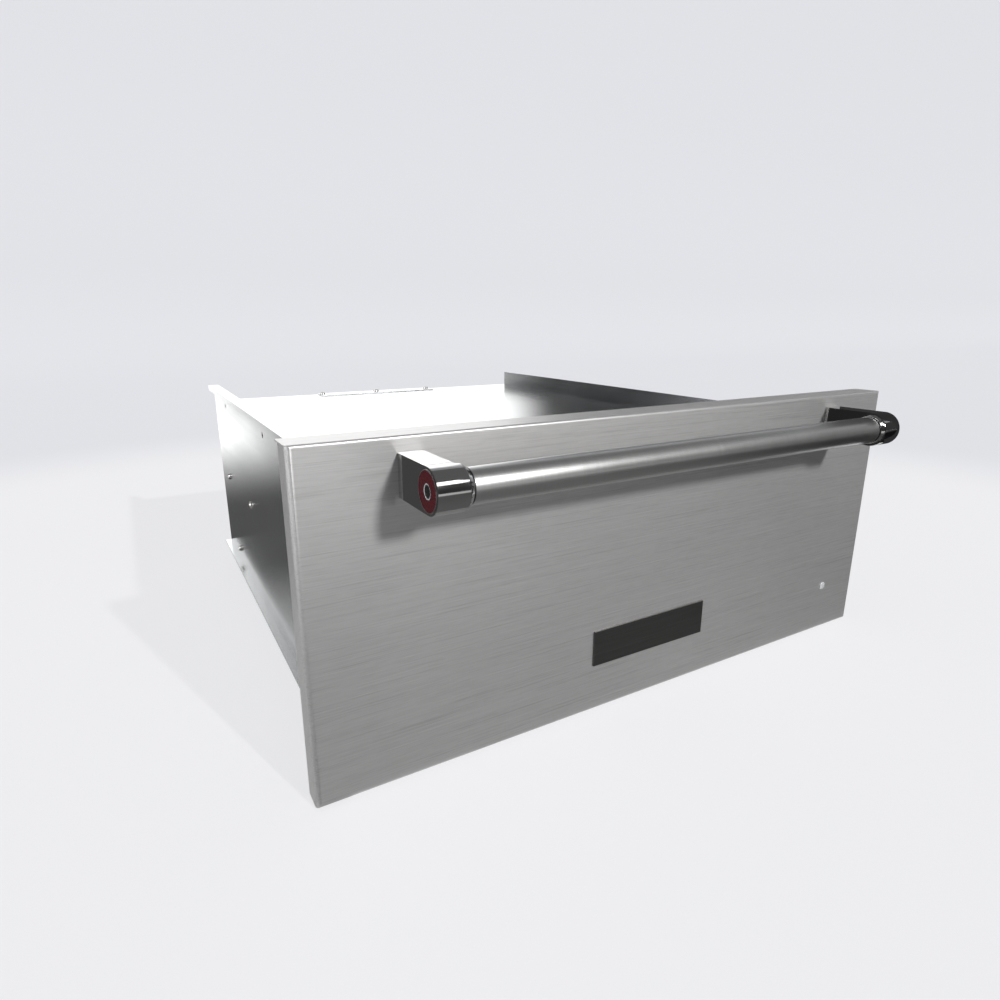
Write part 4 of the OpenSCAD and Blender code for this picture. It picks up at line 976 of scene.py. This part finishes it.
# %% Pan and gasket
def rounded(half_x, low, high, radius, steps=8):
    """Points round a rectangle with rounded corners, centred on x = 0."""
    points = []
    corners = ((1, high, 0), (-1, high, 90), (-1, low, 180), (1, low, 270))
    for side, level, start in corners:
        x = side * (half_x - radius)
        y = level - radius if level == high else level + radius
        for i in range(steps + 1):
            turn = math.radians(start + 90 * i / steps)
            points.append((x + radius * math.cos(turn), y + radius * math.sin(turn)))
    return points


def framed(profile, half_x, low, high, radius, spot, closed):
    """Runs a profile of (outward, along) pairs round a rectangle; spot places a point."""
    mesh = bmesh.new()
    loops = []
    for out, along in profile:
        ring = rounded(half_x + out, low - out, high + out, max(radius + out, 0.0004))
        loops.append([mesh.verts.new(spot(a, b, along)) for a, b in ring])
    for one, two in zip(loops, loops[1:] + loops[:1] if closed else loops[1:]):
        for i in range(len(one)):
            mesh.faces.new((one[i - 1], one[i], two[i], two[i - 1]))
    if not closed:
        mesh.faces.new(loops[0])
        mesh.faces.new(loops[-1])
    bmesh.ops.recalc_face_normals(mesh, faces=mesh.faces)
    return mesh


low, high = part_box("warming_pan")
RIM, PAN_R, SHEET, BOWL = 0.009, 0.014, 0.001, 0.012
floor, top = low[2], high[2]
bend = [math.radians(15 * i) for i in range(7)]
outside = [(-BOWL + BOWL * math.sin(t), floor + BOWL - BOWL * math.cos(t)) for t in bend]
inside = [(-BOWL + (BOWL - SHEET) * math.sin(t), floor + BOWL - (BOWL - SHEET) * math.cos(t))
          for t in bend]
rim = [(0, top - 0.0032), (0.0003, top - 0.0018), (0.0012, top - SHEET),
       (RIM - 0.0004, top - SHEET), (RIM, top - 0.0007), (RIM, top - 0.0003),
       (RIM - 0.0003, top), (0.0014, top), (0.0002, top - 0.0004), (-0.0007, top - 0.0014),
       (-SHEET, top - 0.0032)]
pan = framed(outside + rim + inside[::-1], high[0] - RIM, low[1] + RIM, high[1] - RIM, PAN_R,
             lambda a, b, c: (a, b, c), closed=False)
settle("drawn_pan", pan, "warming_pan", drawn_steel, sharp=40)

low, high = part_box("door_gasket")
SEAL_W, front, back = 0.013, low[1], high[1]
bulb = [(SEAL_W * 0.6 - SEAL_W * 0.2 * math.cos(t), front + SEAL_W * 0.2 * (1 - math.sin(t)))
        for t in [math.pi * i / 10 for i in range(11)]]
seat = back - 0.0028
seal = [(SEAL_W * 0.2, back), (SEAL_W * 0.2, seat + 0.0009), (SEAL_W * 0.26, seat),
        (SEAL_W * 0.37, seat), (SEAL_W * 0.40, seat - 0.0006)] + bulb + [
        (SEAL_W * 0.80, seat - 0.0006), (SEAL_W * 0.83, seat), (SEAL_W * 0.94, seat),
        (SEAL_W, seat + 0.0009), (SEAL_W, back)]
mouth = framed(seal, high[0] - SEAL_W, low[2] + SEAL_W, high[2] - SEAL_W, 0.001,
               lambda a, b, c: (a, c, b), closed=True)
settle("bulb_seal", mouth, "door_gasket", sharp=50)
print("pan depth in mm:", round((top - floor) * 1000, 1))

# %% [markdown]
# A wool blanket has no straight face: it is springy, its edges are soft and its surface dips
# where the fibres clump. The flat packed mat is rebuilt in small cells by the Remesh modifier,
# and each point is then pressed inwards by smooth noise, more along the edges. It never
# swells, so it still fits between the sheets. Simulation adds nothing to a mat that is held
# flat, so none is used.

# %% Wool blankets
def blanket(node, name, cell, sink):
    """A mat in cells of one size, pressed inwards by up to about twice the sink."""
    start = bpy.data.meshes.new(name + "_flat")
    flat = welded(node)
    flat.to_mesh(start)
    flat.free()
    holder = bpy.data.objects.new(name + "_flat", start)
    bpy.context.scene.collection.objects.link(holder)
    cells = holder.modifiers.new("cells", "REMESH")
    cells.mode, cells.voxel_size = "VOXEL", cell
    cells.use_smooth_shade = True
    ready = holder.evaluated_get(bpy.context.evaluated_depsgraph_get())
    data = bpy.data.meshes.new_from_object(ready)
    bpy.data.objects.remove(holder)
    mat = bmesh.new()
    mat.from_mesh(data)
    mat.normal_update()
    moved = []
    for vert in mat.verts:
        clump, fibre = [noise.noise(vert.co * pitch) * 0.5 + 0.5 for pitch in (42.0, 190.0)]
        edge = 1 - max(abs(part) for part in vert.normal)
        press = sink * (0.10 + clump * 0.55 + fibre * 0.35 + edge * 1.2)
        moved.append(vert.co - vert.normal * press)
    for vert, place in zip(mat.verts, moved):
        vert.co = place
    piece = settle(name, mat, node, sharp=80)
    print(name, "points:", len(piece.data.vertices))


blanket("insulation_top", "top_wool", 0.0040, 0.0010)
blanket("insulation_base", "base_wool", 0.0045, 0.0012)
blanket("insulation_back", "back_wool", 0.0045, 0.0014)
blanket("insulation_sides", "side_wool", 0.0045, 0.0012)
blanket("front_insulation", "door_wool", 0.0045, 0.0014)
